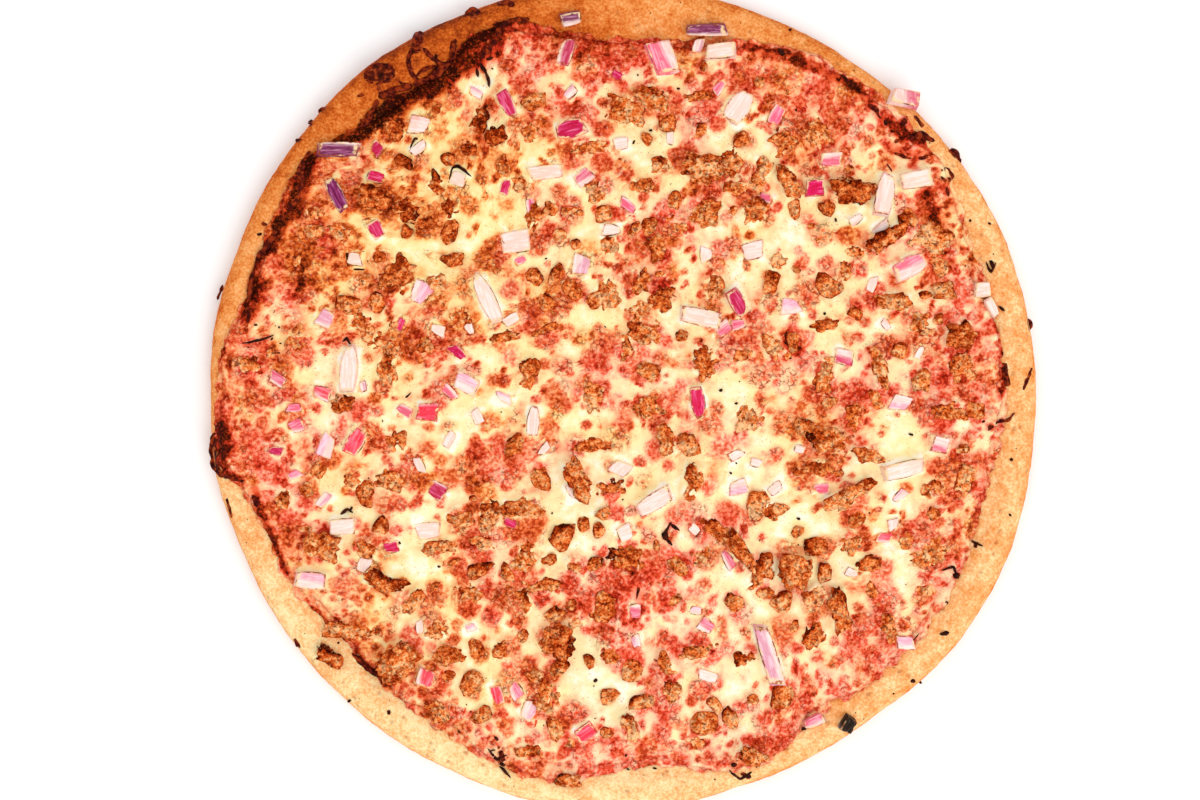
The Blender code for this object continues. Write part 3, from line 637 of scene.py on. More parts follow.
# Where the topping is red with sauce (plus) or pale with cheese (minus): pixels, reach, strength.
redZones = [
    (590, 60, 45, 0.5), (640, 42, 38, 0.5), (540, 45, 32, 0.45), (690, 45, 25, 0.3), (660, 265, 38, 0.4),
    (630, 385, 30, 0.35), (640, 590, 45, 0.45), (610, 615, 28, 0.35), (980, 345, 28, 0.3),
    (962, 372, 34, 0.3), (985, 395, 24, 0.2), (972, 500, 40, 0.2), (960, 560, 34, 0.2),
    (880, 650, 42, 0.25), (850, 690, 42, 0.2), (800, 715, 36, 0.15), (650, 757, 52, 0.15),
    (745, 740, 38, 0.15), (560, 745, 34, 0.15), (480, 718, 36, 0.15), (300, 290, 30, 0.5),
    (318, 258, 28, 0.45), (262, 370, 40, 0.4), (240, 435, 34, 0.5), (280, 460, 30, 0.4),
    (300, 490, 28, 0.35), (866, 112, 24, 0.4), (838, 128, 30, 0.35), (930, 224, 24, 0.5),
    (955, 272, 28, 0.35), (800, 150, 28, 0.4), (775, 82, 36, 0.4), (855, 402, 32, 0.4),
    (430, 338, 26, 0.35), (380, 290, 24, 0.3), (530, 297, 24, 0.3), (345, 660, 30, 0.45),
    (460, 555, 28, 0.3), (740, 330, 26, 0.25), (780, 420, 22, 0.3), (500, 460, 24, 0.3),
    (410, 480, 24, 0.3), (540, 120, 26, 0.3), (640, 215, 26, 0.2), (790, 350, 24, 0.35),
    (330, 210, 24, 0.35), (908, 134, 20, 0.6), (925, 192, 16, 0.6), (450, 118, 26, 0.35),
    (398, 202, 36, 0.4), (350, 245, 26, 0.3), (300, 240, 24, 0.4), (700, 300, 20, 0.2),
    (600, 350, 24, 0.25), (700, 640, 24, 0.2), (545, 660, 20, 0.2),
]
paleZones = [
    (872, 108, 18, 0.5), (938, 170, 22, 0.25), (958, 205, 20, 0.2), (900, 180, 20, 0.4),
    (968, 240, 16, 0.4), (428, 160, 26, 0.25), (402, 255, 26, 0.3), (425, 282, 22, 0.35),
    (492, 292, 26, 0.35), (350, 370, 26, 0.4), (745, 150, 32, 0.35), (812, 215, 36, 0.35),
    (762, 250, 22, 0.3), (665, 320, 34, 0.35), (830, 365, 26, 0.3), (735, 390, 30, 0.3),
    (900, 450, 32, 0.35), (462, 432, 24, 0.3), (500, 412, 22, 0.3), (562, 490, 30, 0.35),
    (620, 470, 22, 0.3), (682, 492, 26, 0.3), (750, 470, 36, 0.3), (560, 552, 26, 0.3),
    (592, 522, 30, 0.35), (415, 572, 26, 0.4), (340, 520, 18, 0.3), (427, 532, 22, 0.3),
    (792, 532, 36, 0.35), (832, 562, 26, 0.3), (770, 612, 36, 0.35), (690, 572, 26, 0.3),
    (540, 628, 26, 0.3), (582, 672, 30, 0.35), (482, 672, 32, 0.35), (622, 692, 26, 0.35),
    (730, 682, 26, 0.25), (402, 622, 22, 0.3), (450, 602, 22, 0.3), (852, 592, 22, 0.3),
    (892, 562, 22, 0.3), (330, 590, 20, 0.25), (870, 232, 30, 0.3), (820, 290, 22, 0.25),
    (600, 112, 18, 0.2), (642, 152, 22, 0.3), (540, 217, 26, 0.3), (592, 232, 22, 0.25),
    (470, 90, 18, 0.3), (330, 420, 18, 0.2), (450, 240, 30, 0.25), (720, 205, 24, 0.2),
    (540, 405, 22, 0.3),
]
# Burnt stretches at the topping's edge and runs of sauce over the rim: pixels, half width in mm and
# depth of burn.
burntBands = [
    ([(500, 36), (490, 56), (470, 66), (455, 74), (436, 74), (425, 84)], 4.2, 0.9),
    ([(450, 70), (464, 59), (473, 44), (486, 32), (508, 23)], 3.0, 0.9),
    ([(445, 84), (415, 92), (398, 96), (388, 106), (384, 120), (392, 128), (402, 110)], 4.6, 0.8),
    ([(378, 104), (374, 122), (366, 136), (352, 142)], 2.2, 1.0),
    ([(308, 160), (306, 178), (303, 196), (298, 212), (290, 220)], 4.0, 0.9),
    ([(283, 222), (278, 236), (266, 252), (258, 262)], 3.0, 0.75),
    ([(262, 282), (254, 296), (250, 310)], 4.0, 0.85), ([(250, 310), (248, 332)], 1.6, 0.8),
    ([(300, 288), (310, 284)], 4.5, 0.4), ([(224, 430), (232, 444), (222, 456), (218, 468)], 4.0, 0.9),
    ([(228, 474), (246, 478)], 2.2, 0.8), ([(214, 440), (213, 460)], 2.0, 1.0),
    ([(222, 345), (232, 356), (233, 376)], 1.2, 0.7),
    ([(520, 22), (545, 16), (572, 12), (600, 20)], 1.6, 0.45),
    ([(745, 47), (775, 56), (805, 66), (830, 78)], 2.6, 0.8),
    ([(830, 78), (856, 90), (868, 106)], 2.4, 0.9), ([(880, 118), (900, 134), (932, 150)], 3.0, 0.8),
    ([(912, 168), (925, 190), (930, 206), (936, 232), (942, 262)], 2.2, 0.55),
    ([(886, 148), (908, 157), (926, 157)], 2.6, 0.55), ([(940, 184), (947, 198), (952, 212)], 2.0, 0.4),
    ([(256, 488), (266, 518), (278, 546), (288, 572)], 1.6, 0.85),
    ([(312, 608), (338, 638), (358, 662)], 1.9, 0.7), ([(355, 655), (372, 672), (392, 684)], 2.4, 0.5),
    ([(1003, 350), (1005, 378), (998, 400)], 1.5, 0.6), ([(786, 346), (795, 352)], 2.2, 0.7),
    ([(962, 488), (972, 484)], 2.4, 0.5), ([(632, 570), (640, 600), (632, 622)], 2.2, 0.35),
    ([(484, 140), (492, 136)], 3.0, 0.6),
]


topping = {
    "base": 0.12,
    "chance": 0.48,  # share of the places for a blister that hold one, where no zone changes it
    # mm apart, seed, mm high, and how much likelier near the edge
    "blisters": [
        (15.0, 211, 1.5, -0.08), (10.5, 213, 1.2, -0.02), (6.5, 219, 0.8, 0.15), (3.9, 223, 0.5, 0.24),
    ],
    "warp": 0.9,  # mm that the borders of blisters waver
    "redder": 0.24,  # tone that a red zone adds and a pale one takes
    "paler": 0.13,
    "mottle": 0.08,
    "brown": 0.42,
    "brownWaves": 0.48,
    "edge": (2, 13),  # mm in from the sauce's edge, where the edge's tone fades out
    "ring": (4, 26),  # mm in, where small blisters are likelier
}
# The tone that the topping tends to at its own edge, by azimuth.
edgeTones = [
    (0, 0.30), (30, 0.26), (60, 0.32), (85, 0.56), (105, 0.80), (120, 0.90), (138, 0.88), (152, 0.66),
    (180, 0.42), (210, 0.44), (240, 0.34), (270, 0.30), (300, 0.28), (330, 0.28), (360, 0.30),
]
# Where it is browner than it is red: pixels, reach and amount.
brownZones = [
    (390, 210, 130, 0.55), (470, 170, 80, 0.3), (540, 330, 70, 0.2), (400, 620, 90, 0.35),
    (850, 480, 90, 0.25), (640, 380, 50, -0.2), (660, 600, 90, -0.35), (940, 380, 90, -0.3),
    (590, 60, 80, -0.2), (650, 740, 120, -0.3), (900, 620, 120, -0.25), (280, 440, 70, -0.15),
]


# What a spot of the topping is like. The tone runs from 0 pale cheese to 1 burnt sauce: a base with
# the zones as bell shapes, blisters that are cells with warped borders, and the tone of the edge.
# Rise is how far blisters stand up in mm, and brown how far the colour goes from red to brown.
def toppingAt(x, y):
    points = laidFlat(x, y)
    azimuth, radius = polar(x, y)
    zone = bells(x, y, redZones) - bells(x, y, paleZones)
    brown = topping["brown"] + topping["brownWaves"] * noise(points, 22, 221) + bells(x, y, brownZones)
    tone = topping["base"] + topping["redder"] * np.maximum(zone, 0)
    tone += topping["paler"] * np.minimum(zone, 0)
    tone += topping["mottle"] * layered(points, 12, 3, 2)
    inward = sauceEdge(azimuth) - radius
    atEdge = (1 - ease(*topping["edge"], inward + 3.0 * layered(points, 9, 227, 3))) * 0.9
    edgeTone = np.interp(azimuth, *np.array(edgeTones).T) + 0.08 * layered(points, 7, 229, 3)
    tone = tone + (edgeTone - tone) * atEdge
    ring = 1 - ease(*topping["ring"], inward)
    chance = topping["chance"] + 0.75 * zone + 0.20 * np.minimum(zone, 0) + 0.12 * noise(points, 24, 7)
    warp = laidFlat(noise(points, 4.5, 225), noise(points, 4.5, 226)) * topping["warp"]
    rise = np.zeros(len(x))
    speck = ease(0.6, 0.9, tone) * 0.8
    for size, seed, high, more in topping["blisters"]:
        near, name = cells(points + warp, size, seed, flat=True)
        lots = (name * 97.13) % 1
        deep = 0.34 + 0.30 * ((name * 53.7) % 1) + 0.12 * zone + 0.15 * more
        away = near / (0.30 + 0.20 * name)
        blister = ease(-0.04, 0.04, chance + more * ring * 2 - more - lots) * (1 - ease(0.6, 1.35, away))
        tone = tone + (np.maximum(deep, tone) - tone) * blister
        rise = np.maximum(rise, blister * high)
        speck = np.maximum(speck, blister * (0.35 + 0.65 * ((name * 71.3) % 1)))
        brown += blister * (((name * 31.9) % 1) - 0.5) * 0.7
    return tone, rise, np.clip(brown, 0, 1), speck


def burntShare(x, y):
    ragged = 1 + 0.55 * layered(laidFlat(x, y), 6, 41, 3)
    burnt = np.zeros(len(x))
    for path, half, depth in burntBands:
        away = awayFromPath(x, y, path) / (half * ragged)
        burnt = np.maximum(burnt, depth * (1 - ease(0.55, 1.25, away)))
    return burnt


# How much of each spot lies near a piece: the piece's weight at its footprint, and less with the
# distance outside it, as a bell of the given reach in mm. Where pieces meet the larger value counts.
def nearPieces(x, y, places, reach, weights=None):
    near = np.zeros(len(x))
    for k, place in enumerate(places):
        middle, axes, half = place[:3]
        local = np.abs((x - middle[0]) + 1j * (y - middle[1])) < half[0] * 1.5 + reach * 2
        dx, dy = x[local] - middle[0], y[local] - middle[1]
        along = np.abs(dx * axes[0, 0] + dy * axes[0, 1])
        across = np.abs(dx * axes[1, 0] + dy * axes[1, 1])
        outside = np.hypot(np.maximum(0, along - half[0] * 0.8), np.maximum(0, across - half[1] * 0.8))
        weight = 1 if weights is None else weights[k]
        near[local] = np.maximum(near[local], weight * np.exp(-(outside / reach) ** 2))
    return near


# The height in mm that the cheese may reach at each spot: just under the top of a piece that covers
# it, and anything where none does.
def ceilingAt(x, y, places, inset, below):
    ceiling = np.full(len(x), 99.0)
    for place in places:
        middle, axes, half = place[:3]
        local = np.flatnonzero(np.hypot(x - middle[0], y - middle[1]) < half[0] * 1.5)
        offset = np.stack([x[local] - middle[0], y[local] - middle[1]], axis=1) @ axes[:2, :2].T
        within = np.all(np.abs(offset) < half[:2] - inset, axis=1)
        spots = local[within]
        lean = ((x[spots] - middle[0]) * axes[2, 0] + (y[spots] - middle[1]) * axes[2, 1]) / axes[2, 2]
        ceiling[spots] = np.minimum(ceiling[spots], middle[2] + half[2] - lean - below)
    return ceiling


def proudness(places):  # mm that each piece stands above the cheese of the solid
    x, y, z = np.array([place[0] for place in places]).T
    return z + np.array([place[2][2] for place in places]) - cheeseTop(*polar(x, y))


# The squares of a grid laid over a disc: on each square ring of the grid the share of the radius is
# the same, and the azimuth runs evenly along its sides.
def discGrid(side):
    line = np.linspace(-1, 1, side)
    u, v = np.meshgrid(line, line, indexing="ij")
    share = np.maximum(np.abs(u), np.abs(v))
    upright = np.abs(u) >= np.abs(v)
    with np.errstate(divide="ignore", invalid="ignore"):
        turn = np.where(upright, pi / 4 * v / u, pi / 2 - pi / 4 * u / v)
    turn = np.where(upright & (u < 0), turn + pi, turn)
    turn = np.where(~upright & (v < 0), turn + pi, turn)
    turn[share == 0] = 0
    index = np.arange(side * side).reshape(side, side)
    faces = np.stack([index[:-1, :-1], index[1:, :-1], index[1:, 1:], index[:-1, 1:]], axis=-1)
    border = np.concatenate([index[:-1, 0], index[-1, :-1], index[:0:-1, -1], index[0, :0:-1]])
    return np.degrees(turn.ravel()) % 360, share.ravel(), faces.reshape(-1, 4), border


def blurred(values, side, steps):  # a few passes of averaging each grid point with its neighbours
    grid = values.reshape(side, side)
    for step in range(steps):
        padded = np.pad(grid, 1, mode="edge")
        grid = (padded[:-2, 1:-1] + padded[2:, 1:-1] + padded[1:-1, :-2] + padded[1:-1, 2:] + 2 * grid) / 6
    return grid.ravel()


cheese = {
    "side": 309,  # points along a side of its grid
    "ragged": 1.1,  # mm that its edge wavers
    "climb": 0.62,  # share of a piece's height that the cheese climbs
    "climbReach": 1.9,  # mm, as the next
    "highest": 2.8,
    "nearCrumb": 1.9,  # mm that crumbs and onions change the tone round them
    "nearOnion": 1.6,
    "fat": 0.11,  # tone added beside crumbs
    "milk": 0.08,  # tone taken beside onions
    "granule": 2.3,  # mm, as the next four
    "granuleDepth": 0.3,
    "waves": 0.34,
    "fineWaves": 0.12,
    "burntRise": 0.7,
    "hollowShade": 0.55,  # mm that a hollow lies under the surface round it for full painted shade
}


# Melted cheese: the solid's surface with blistered patches, granules and small hollows, drawn up
# round the toppings, closed by a skirt at its edge and a plain underside.
def makeCheese():
    side = cheese["side"]
    azimuth, share, faces, border = discGrid(side)
    edge = cheeseEdge(azimuth)
    ragged = cheese["ragged"] * layered(laidFlat(*onCircle(edge, azimuth)), 7, 61, 3)
    radius = share * (edge + ragged)
    x, y = onCircle(radius, azimuth)
    points = laidFlat(x, y)
    tone, rise, brown, speck = toppingAt(x, y)
    burnt = burntShare(x, y)
    nearCrumb = nearPieces(x, y, crumbPlaces + smallCrumbPlaces, cheese["nearCrumb"])
    nearOnion = nearPieces(x, y, onionPlaces, cheese["nearOnion"])
    tone = tone + cheese["fat"] * nearCrumb * (1.2 - tone) - cheese["milk"] * nearOnion
    inside = ease(0, 0.03, 1 - share)
    near = cells(points, cheese["granule"], 17)[0]
    relief = rise * inside + cheese["granuleDepth"] * (0.55 - near) * (0.4 + rise)
    relief += cheese["waves"] * layered(points, 8, 23, 4)
    relief += cheese["fineWaves"] * layered(points, 2.6, 29, 2)
    drawn = crumbPlaces + onionPlaces
    heights = np.clip(proudness(drawn) * cheese["climb"], 0, cheese["highest"])
    climb = nearPieces(x, y, drawn, cheese["climbReach"], heights)
    relief += climb * inside * (0.9 + 0.4 * layered(points, 5, 31, 2))
    relief += cheese["burntRise"] * burnt
    top = cheeseTop(azimuth, np.minimum(radius, edge)) + relief
    top = np.minimum(top, ceilingAt(x, y, onionPlaces, 0.3, 1.0))
    top = np.minimum(top, ceilingAt(x, y, crumbPlaces, 1.2, 1.2))
    lowest = cheeseBottom(azimuth, np.minimum(radius, edge)) + 0.5
    top = np.maximum(top, lowest)
    rounding = ease(0, 0.012, 1 - share)  # the edge rolls over within 2 mm
    top = lowest + (top - lowest) * (0.25 + 0.75 * rounding)
    # Painted shade: the tone darkens where the surface lies below the blurred surface round it.
    hollowShade = np.clip((blurred(top, side, 12) - top) / cheese["hollowShade"], -1, 1)
    upper = np.stack([x, y, top], axis=1)
    skirt = upper[border] * (0.995, 0.995, 1)
    skirt[:, 2] = cheeseBottom(azimuth[border], np.minimum(radius, edge)[border]) + 0.05
    inner = skirt * (0.9, 0.9, 1)
    inner[:, 2] = cheeseBottom(azimuth[border], np.hypot(inner[:, 0], inner[:, 1])) + 0.05
    middle = np.array([[0, 0, float(cheeseBottom(np.zeros(1), np.zeros(1))[0]) + 0.05]])
    count, ring = side * side, len(border)
    loops = [border, count + np.arange(ring), count + ring + np.arange(ring)]
    sides = [np.stack([a, b, np.roll(b, -1), np.roll(a, -1)], axis=1) for a, b in zip(loops, loops[1:])]
    last = loops[-1]
    fan = np.stack([last, np.full(ring, count + 2 * ring), np.roll(last, -1)], axis=1)
    allPoints = np.concatenate([upper, skirt, inner, middle])
    pad = len(allPoints) - count
    shown = {"tone": (tone, 0.4), "burnt": (burnt, 0), "hollowShade": (hollowShade, 0), "brown": (brown, 0.3),
             "speck": (speck, 0)}
    values = {key: np.concatenate([value, np.full(pad, below)]) for key, (value, below) in shown.items()}
    quads = np.concatenate([faces, *sides])
    return allPoints, quads.tolist() + fan.tolist(), values


redStops = [
    (0.00, "fffaec"), (0.13, "feecc0"), (0.26, "fdd3a8"), (0.39, "faa688"), (0.52, "f5765a"),
    (0.65, "e44a2c"), (0.78, "b42812"), (0.90, "661404"), (1.00, "380902"),
]
brownStops = [
    (0.00, "fff9de"), (0.13, "fee8a8"), (0.26, "fdce86"), (0.39, "f69f5a"), (0.52, "e67432"),
    (0.65, "c24c18"), (0.78, "842a08"), (0.90, "4c1604"), (1.00, "280902"),
]


# Cheese and sauce share two scales of colours, run through by the tone. Blisters and burnt sauce are
# grained: broken dark veins between grains, and a painted highlight on the grain middles. Hollows get
# painted shade.
def toppingColour(shader):
    tone, speck = shader.value("tone"), shader.value("speck")
    mixed = shader.plus(tone, shader.patches(7.0, 2, 0.3, 0.7, -0.06, 0.06))
    mixed = shader.plus(mixed, shader.patches(2.8, 2, 0.3, 0.7, -0.045, 0.045))
    redness = shader.span(mixed, 0.22, 0.5)
    mixed = shader.plus(mixed, shader.times(shader.patches(1.5, 3, 0.34, 0.66, -0.12, 0.13), redness))
    # Painted shade: hollows are darker.
    mixed = shader.math("MULTIPLY_ADD", shader.value("hollowShade"), 0.09, mixed)
    mixed = shader.math("MULTIPLY_ADD", shader.value("burnt"), 0.45, mixed)
    brown = shader.value("brown")
    colour = shader.mix(brown, shader.ramp(mixed, redStops), shader.ramp(mixed, brownStops))
    grains = shader.cell(2.0, place=shader.warped(1.5, 1.2)).outputs["Distance"]
    # Painted highlight: the middles of the grains are lighter.
    grainHighlight = shader.times(shader.span(grains, 0.15, 0.4, 0.32, 0.0), shader.span(mixed, 0.62, 0.8, 1.0, 0.0))
    colour = shader.mix(shader.times(grainHighlight, speck), colour, linear("ffd0ac"))
    veins = shader.times(shader.veins(2.1, 0.19, 2.6), shader.span(speck, 0.35, 0.95))
    dark = shader.mix(brown, linear("840c04"), linear("5e1804"))
    colour = shader.mix(shader.times(veins, 0.75), colour, dark)
    flecks = shader.times(shader.patches(1.3, 3, 0.58, 0.66), shader.span(mixed, 0.34, 0.6))
    paler = shader.mix(brown, linear("c42e14"), linear("a8420e"))
    colour = shader.mix(shader.times(flecks, 0.6), colour, paler)
    yellow = shader.times(shader.patches(13.0, 2, 0.44, 0.60), shader.span(mixed, 0.18, 0.34, 0.5, 0.0))
    colour = shader.mix(yellow, colour, linear("fdeaa6"))
    dots = shader.times(shader.patches(0.85, 2, 0.60, 0.68), shader.patches(6.0, 2, 0.44, 0.56))
    colour = shader.mix(shader.times(dots, 0.55), colour, linear("c8581e"))
    return colour, mixed, grains, redness


def cheeseMaterial():
    shader = Shader("melted cheese")
    colour, mixed, grains, redness = toppingColour(shader)
    height = shader.math("MULTIPLY_ADD", grains, -0.8, shader.grain(1.0, 3))
    normal = shader.bump(shader.times(height, redness), 0.4, 0.8)
    rough = shader.span(mixed, 0.2, 0.8, 0.45, 0.6)
    return shader.finish(colour, rough, normal, shine=0.02)


cheesePoints, cheeseFaces, cheeseValues = makeCheese()
meltedCheese = makePiece("melted_cheese", cheesePoints, cheeseFaces, cheeseMaterial(), cheeseValues)
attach(meltedCheese, "root")
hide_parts("cheese")

sauce = {
    "around": 900,
    "rows": 26,
    "ragged": 1.9,  # mm, as all that follow
    "granule": 2.2,
    "granuleDepth": 0.45,
    "waves": 0.35,
    "fromEdge": 1.0,
    "burntRise": 0.5,
}


# Tomato sauce: rings from the middle, under the cheese, out to a ragged edge. There it turns under,
# and its underside goes back in to the middle.
def makeSauce():
    around = sauce["around"]
    azimuth = np.arange(around) * 360 / around
    edge = sauceEdge(azimuth)
    ragged = sauce["ragged"] * layered(laidFlat(*onCircle(edge, azimuth)), 6.5, 81, 4)
    widest = outline(azimuth) - sauce["fromEdge"]
    edge = np.minimum(edge + ragged, widest)
    out = np.concatenate([[0.0], 1 - (1 - np.linspace(0, 1, sauce["rows"])) ** 1.6 * 0.15])
    rows = []
    tones = []
    for share in out:
        radius = share * edge
        x, y = onCircle(radius, azimuth)
        points = laidFlat(x, y)
        near = cells(points, sauce["granule"], 91)[0]
        bulge = 1 - ease(0.975, 1.0, share) * 0.8
        relief = sauce["granuleDepth"] * (0.5 - near) + sauce["waves"] * layered(points, 4, 93, 3)
        relief = relief * ease(0.5, 0.9, share) * bulge
        burnt = burntShare(x, y)
        thick = (pizza["sauce"] + sauce["burntRise"] * burnt) * bulge + relief
        z = sauceBottom(azimuth, np.minimum(radius, widest)) + thick
        z = np.maximum(z, crustHeight(azimuth, radius) + 0.15)
        rows.append(np.stack([x, y, z], axis=1))
        tone, rise, brown, speck = toppingAt(x, y)
        least = np.interp(azimuth, *np.array(edgeTones).T) * 0.8 + 0.06
        # The third value is painted shade where the sauce's relief dips.
        tones.append((np.maximum(tone, least), burnt, np.clip(-relief / 0.5, -1, 1), brown, speck))
    for share in (0.985, 0.5, 0.0):
        radius = share * edge
        under = crustHeight(azimuth, radius) + 0.1
        rows.append(np.stack([*onCircle(radius, azimuth), under], axis=1))
        plain = np.zeros(around)
        tones.append((plain + 0.6, plain, plain, plain + 0.3, plain))
    grid = np.array(rows)
    grid[0, :, 2] = grid[0, :, 2].mean()
    values = gathered(("tone", "burnt", "hollowShade", "brown", "speck"), tones)
    return grid.reshape(-1, 3), ringFaces(len(rows), around), values


def sauceMaterial():
    shader = Shader("tomato sauce")
    colour, mixed, grains, redness = toppingColour(shader)
    height = shader.math("MULTIPLY_ADD", grains, -0.8, shader.grain(1.1, 3))
    rough = shader.span(mixed, 0.4, 1.0, 0.5, 0.34)
    return shader.finish(colour, rough, shader.bump(height, 0.4, 0.8), shine=0.02)


# Merges the points that lie on one spot, so that poles are closed, and turns all faces outwards.
def closePoles(piece, distance=0.00001):
    work = bmesh.new()
    work.from_mesh(piece.data)
    bmesh.ops.remove_doubles(work, verts=work.verts, dist=distance)
    bmesh.ops.recalc_face_normals(work, faces=work.faces)
    work.to_mesh(piece.data)
    work.free()
    return piece


saucePoints, sauceFaces, sauceValues = makeSauce()
tomatoSauce = closePoles(makePiece("tomato_sauce", saucePoints, sauceFaces, sauceMaterial(), sauceValues))
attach(tomatoSauce, "root")
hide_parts("sauce")

crust = {
    "around": 1150,
    "middle": 178.0,  # mm in from the edge, where its rings shrink to a point
    "inner": 152,  # mm in, past which rings are plain circles
    "relief": 27,  # mm in, up to where the rim has relief and stains
    "puff": 0.45,  # mm high, as the next five
    "wrinkle": 0.16,
    "pit": 0.55,
    "blister": 0.7,
    "stain": 0.45,
    "dimple": 0.35,
    "sunk": 0.2,  # mm that the dough under the sauce is lowered
    "side": [0.75, 0.4, 0.15, 0.0, 0.12, 0.45, 1.1, 2.2, 3.4, 5.0],  # mm in, down the side
    "sideUp": [7.9, 7.0, 6.0, 5.0, 3.9, 2.8, 1.7, 0.75, 0.28, 0.05],
    "under": [9, 16, 25, 35, 46, 58, 70, 82, 94, 106, 118, 130, 142, 154, 166, 178],  # mm in, below
    "flour": 0.24,  # how brown the underside is
}
# How brown the rim is round the pizza, by azimuth.
bakes = [
    (0, 0.26), (30, 0.23), (50, 0.33), (66, 0.42), (78, 0.36), (88, 0.40), (100, 0.56), (120, 0.67),
    (135, 0.54), (150, 0.41), (180, 0.30), (210, 0.16), (240, 0.13), (270, 0.12), (300, 0.23),
    (330, 0.25), (360, 0.24),
]
# Runs and drops of sauce that baked on to the rim: pixels, and half width in mm.
stains = [
    ([(374, 74), (388, 75)], 4.3), ([(379, 86), (384, 98)], 0.9), ([(419, 34), (417, 50)], 2.9),
    ([(414, 50), (410, 62), (413, 74), (420, 82)], 0.9), ([(422, 50), (434, 60), (441, 68)], 1.0),
    ([(455, 43), (453, 66)], 1.2), ([(473, 10), (475, 17)], 2.2), ([(462, 16), (474, 14)], 1.2),
    ([(497, 26), (500, 34)], 1.6), ([(500, 3), (508, 4)], 1.8), ([(310, 120), (311, 124)], 1.5),
    ([(318, 112), (324, 108)], 1.3), ([(296, 141), (300, 140)], 1.1),
    ([(474, 56), (492, 54), (500, 38)], 2.2), ([(296, 640), (299, 645)], 1.2),
    ([(952, 152), (960, 158)], 1.6), ([(1029, 318), (1031, 330)], 1.5), ([(1022, 388), (1030, 368)], 0.7),
    ([(1002, 366), (1006, 384)], 1.6), ([(988, 424), (992, 432)], 1.8), ([(776, 52), (786, 58)], 1.4),
    ([(836, 78), (845, 83)], 1.2), ([(790, 60), (796, 64)], 1.0),
    ([(215, 440), (214, 462), (222, 474)], 1.8), ([(216, 300), (224, 280)], 0.8),
    ([(228, 500), (232, 516)], 0.9), ([(915, 118), (921, 126)], 1.1), ([(905, 142), (914, 140)], 1.3),
    ([(360, 97), (364, 96)], 0.7), ([(264, 224), (268, 226)], 0.7), ([(498, 744), (506, 762)], 1.4),
    ([(742, 772), (748, 776)], 1.0),
]


# The dough's section: mm in from the edge and mm up, from the middle over the crown, down the side
# and in under the base. The crown is the solid's section, smoothed over 1.8 mm.
def crustSection():
    inwards = np.concatenate([[crust["middle"], 60.0, 30.0], np.linspace(26, 1.2, 52)])
    smoothIn = np.linspace(0, 32, 321)
    straight = np.interp(smoothIn, rimIn, rimUp)
    kernel = np.hanning(19)
    kernel /= kernel.sum()
    smoothed = np.convolve(np.pad(straight, 9, mode="edge"), kernel, mode="valid")
    smoothed = np.where(smoothIn > 1.2, smoothed, straight)
    up = np.interp(np.minimum(inwards, 32), smoothIn, smoothed)
    sectionIn = np.concatenate([inwards, crust["side"], crust["under"]])
    sectionUp = np.concatenate([up, crust["sideUp"], np.zeros(len(crust["under"]))])
    return sectionIn, sectionUp, np.arange(len(sectionIn)) < len(inwards)


def stainShare(points):  # 1 where sauce baked on to the rim
    x, y = points[:, 0], points[:, 1]
    stain = np.zeros(len(x))
    ragged = 1 + 0.28 * layered(points, 3.4, 113, 3)
    for path, half in stains:
        stain = np.maximum(stain, 1 - ease(0.6, 1.15, awayFromPath(x, y, path) / (half * ragged)))
    return stain


# Baked dough: the section turned round, with soft puffs, wrinkles, pits, blisters and the sauce that
# ran over it. Each row of the grid is one ring.
def makeCrust():
    around = crust["around"]
    azimuth = np.arange(around) * 360 / around
    edge = outline(azimuth)
    puff = 1 + ripple(azimuth, rimPuffs)
    rows = []
    rowValues = []
    for inward, height, top in zip(*crustSection()):
        radius = np.maximum(edge - inward, 0)
        if inward >= crust["inner"]:
            radius = np.full(around, crust["middle"] - inward)
        x, y = onCircle(radius, azimuth)
        z = np.minimum(height, pizza["basin"]) + np.maximum(0, height - pizza["basin"]) * puff
        points = np.stack([x, y, z], axis=1)
        wide = layered(points, 14, 101, 3)
        wrinkled = layered(points * (1, 1, 2), 3.2, 103, 3)
        near, name = cells(points, 4.6, 107)
        pit = (1 - ease(0.10, 0.26, near)) * (name > 0.62)
        near, name = cells(points, 13, 109)
        blister = (1 - ease(0.12, 0.42, near)) * (name > 0.70)
        onRim = top and inward < crust["relief"]
        stain = stainShare(points) if onRim else np.zeros(around)
        if onRim:
            up = crust["puff"] * wide + crust["wrinkle"] * wrinkled - crust["pit"] * pit
            up = up + crust["blister"] * blister + crust["stain"] * stain
            z = z + up * (ease(crust["relief"], 22, inward) if inward > 22 else 1.0)
        elif top:
            z = z - crust["sunk"]
        elif inward < 6 and height > 1:
            push = 1 + (0.35 * wide + 0.12 * wrinkled) / np.maximum(radius, 1)
            x, y = x * push, y * push
        elif height <= 0.05:
            dimple = np.clip(layered(points, 34, 117, 2) * 0.6 + 0.3, 0, 1)
            z = z + crust["dimple"] * dimple * ease(2, 12, inward)
        rows.append(np.stack([x, y, z], axis=1))
        bake = np.interp(azimuth, *np.array(bakes).T)
        flat = not top and height <= 0.4
        if top:
            bake = bake + (1 - ease(0, 7, inward)) * (0.04 + 0.22 * (bake - 0.2)) + 0.08 * blister
        elif not flat:
            bake = bake * 0.8 + 0.16
        bake = np.full(around, crust["flour"]) if flat else bake + 0.07 * wide + 0.05 * wrinkled
        rowValues.append((bake, pit * (0.0 if flat else 0.8), stain, np.full(around, float(flat))))
    grid = np.array(rows)
    grid[0, :, 2] = grid[0, :, 2].mean()
    grid[-1, :, 2] = 0
    values = gathered(("bake", "pit", "stain", "under"), rowValues)
    return grid.reshape(-1, 3), ringFaces(len(rows), around), values


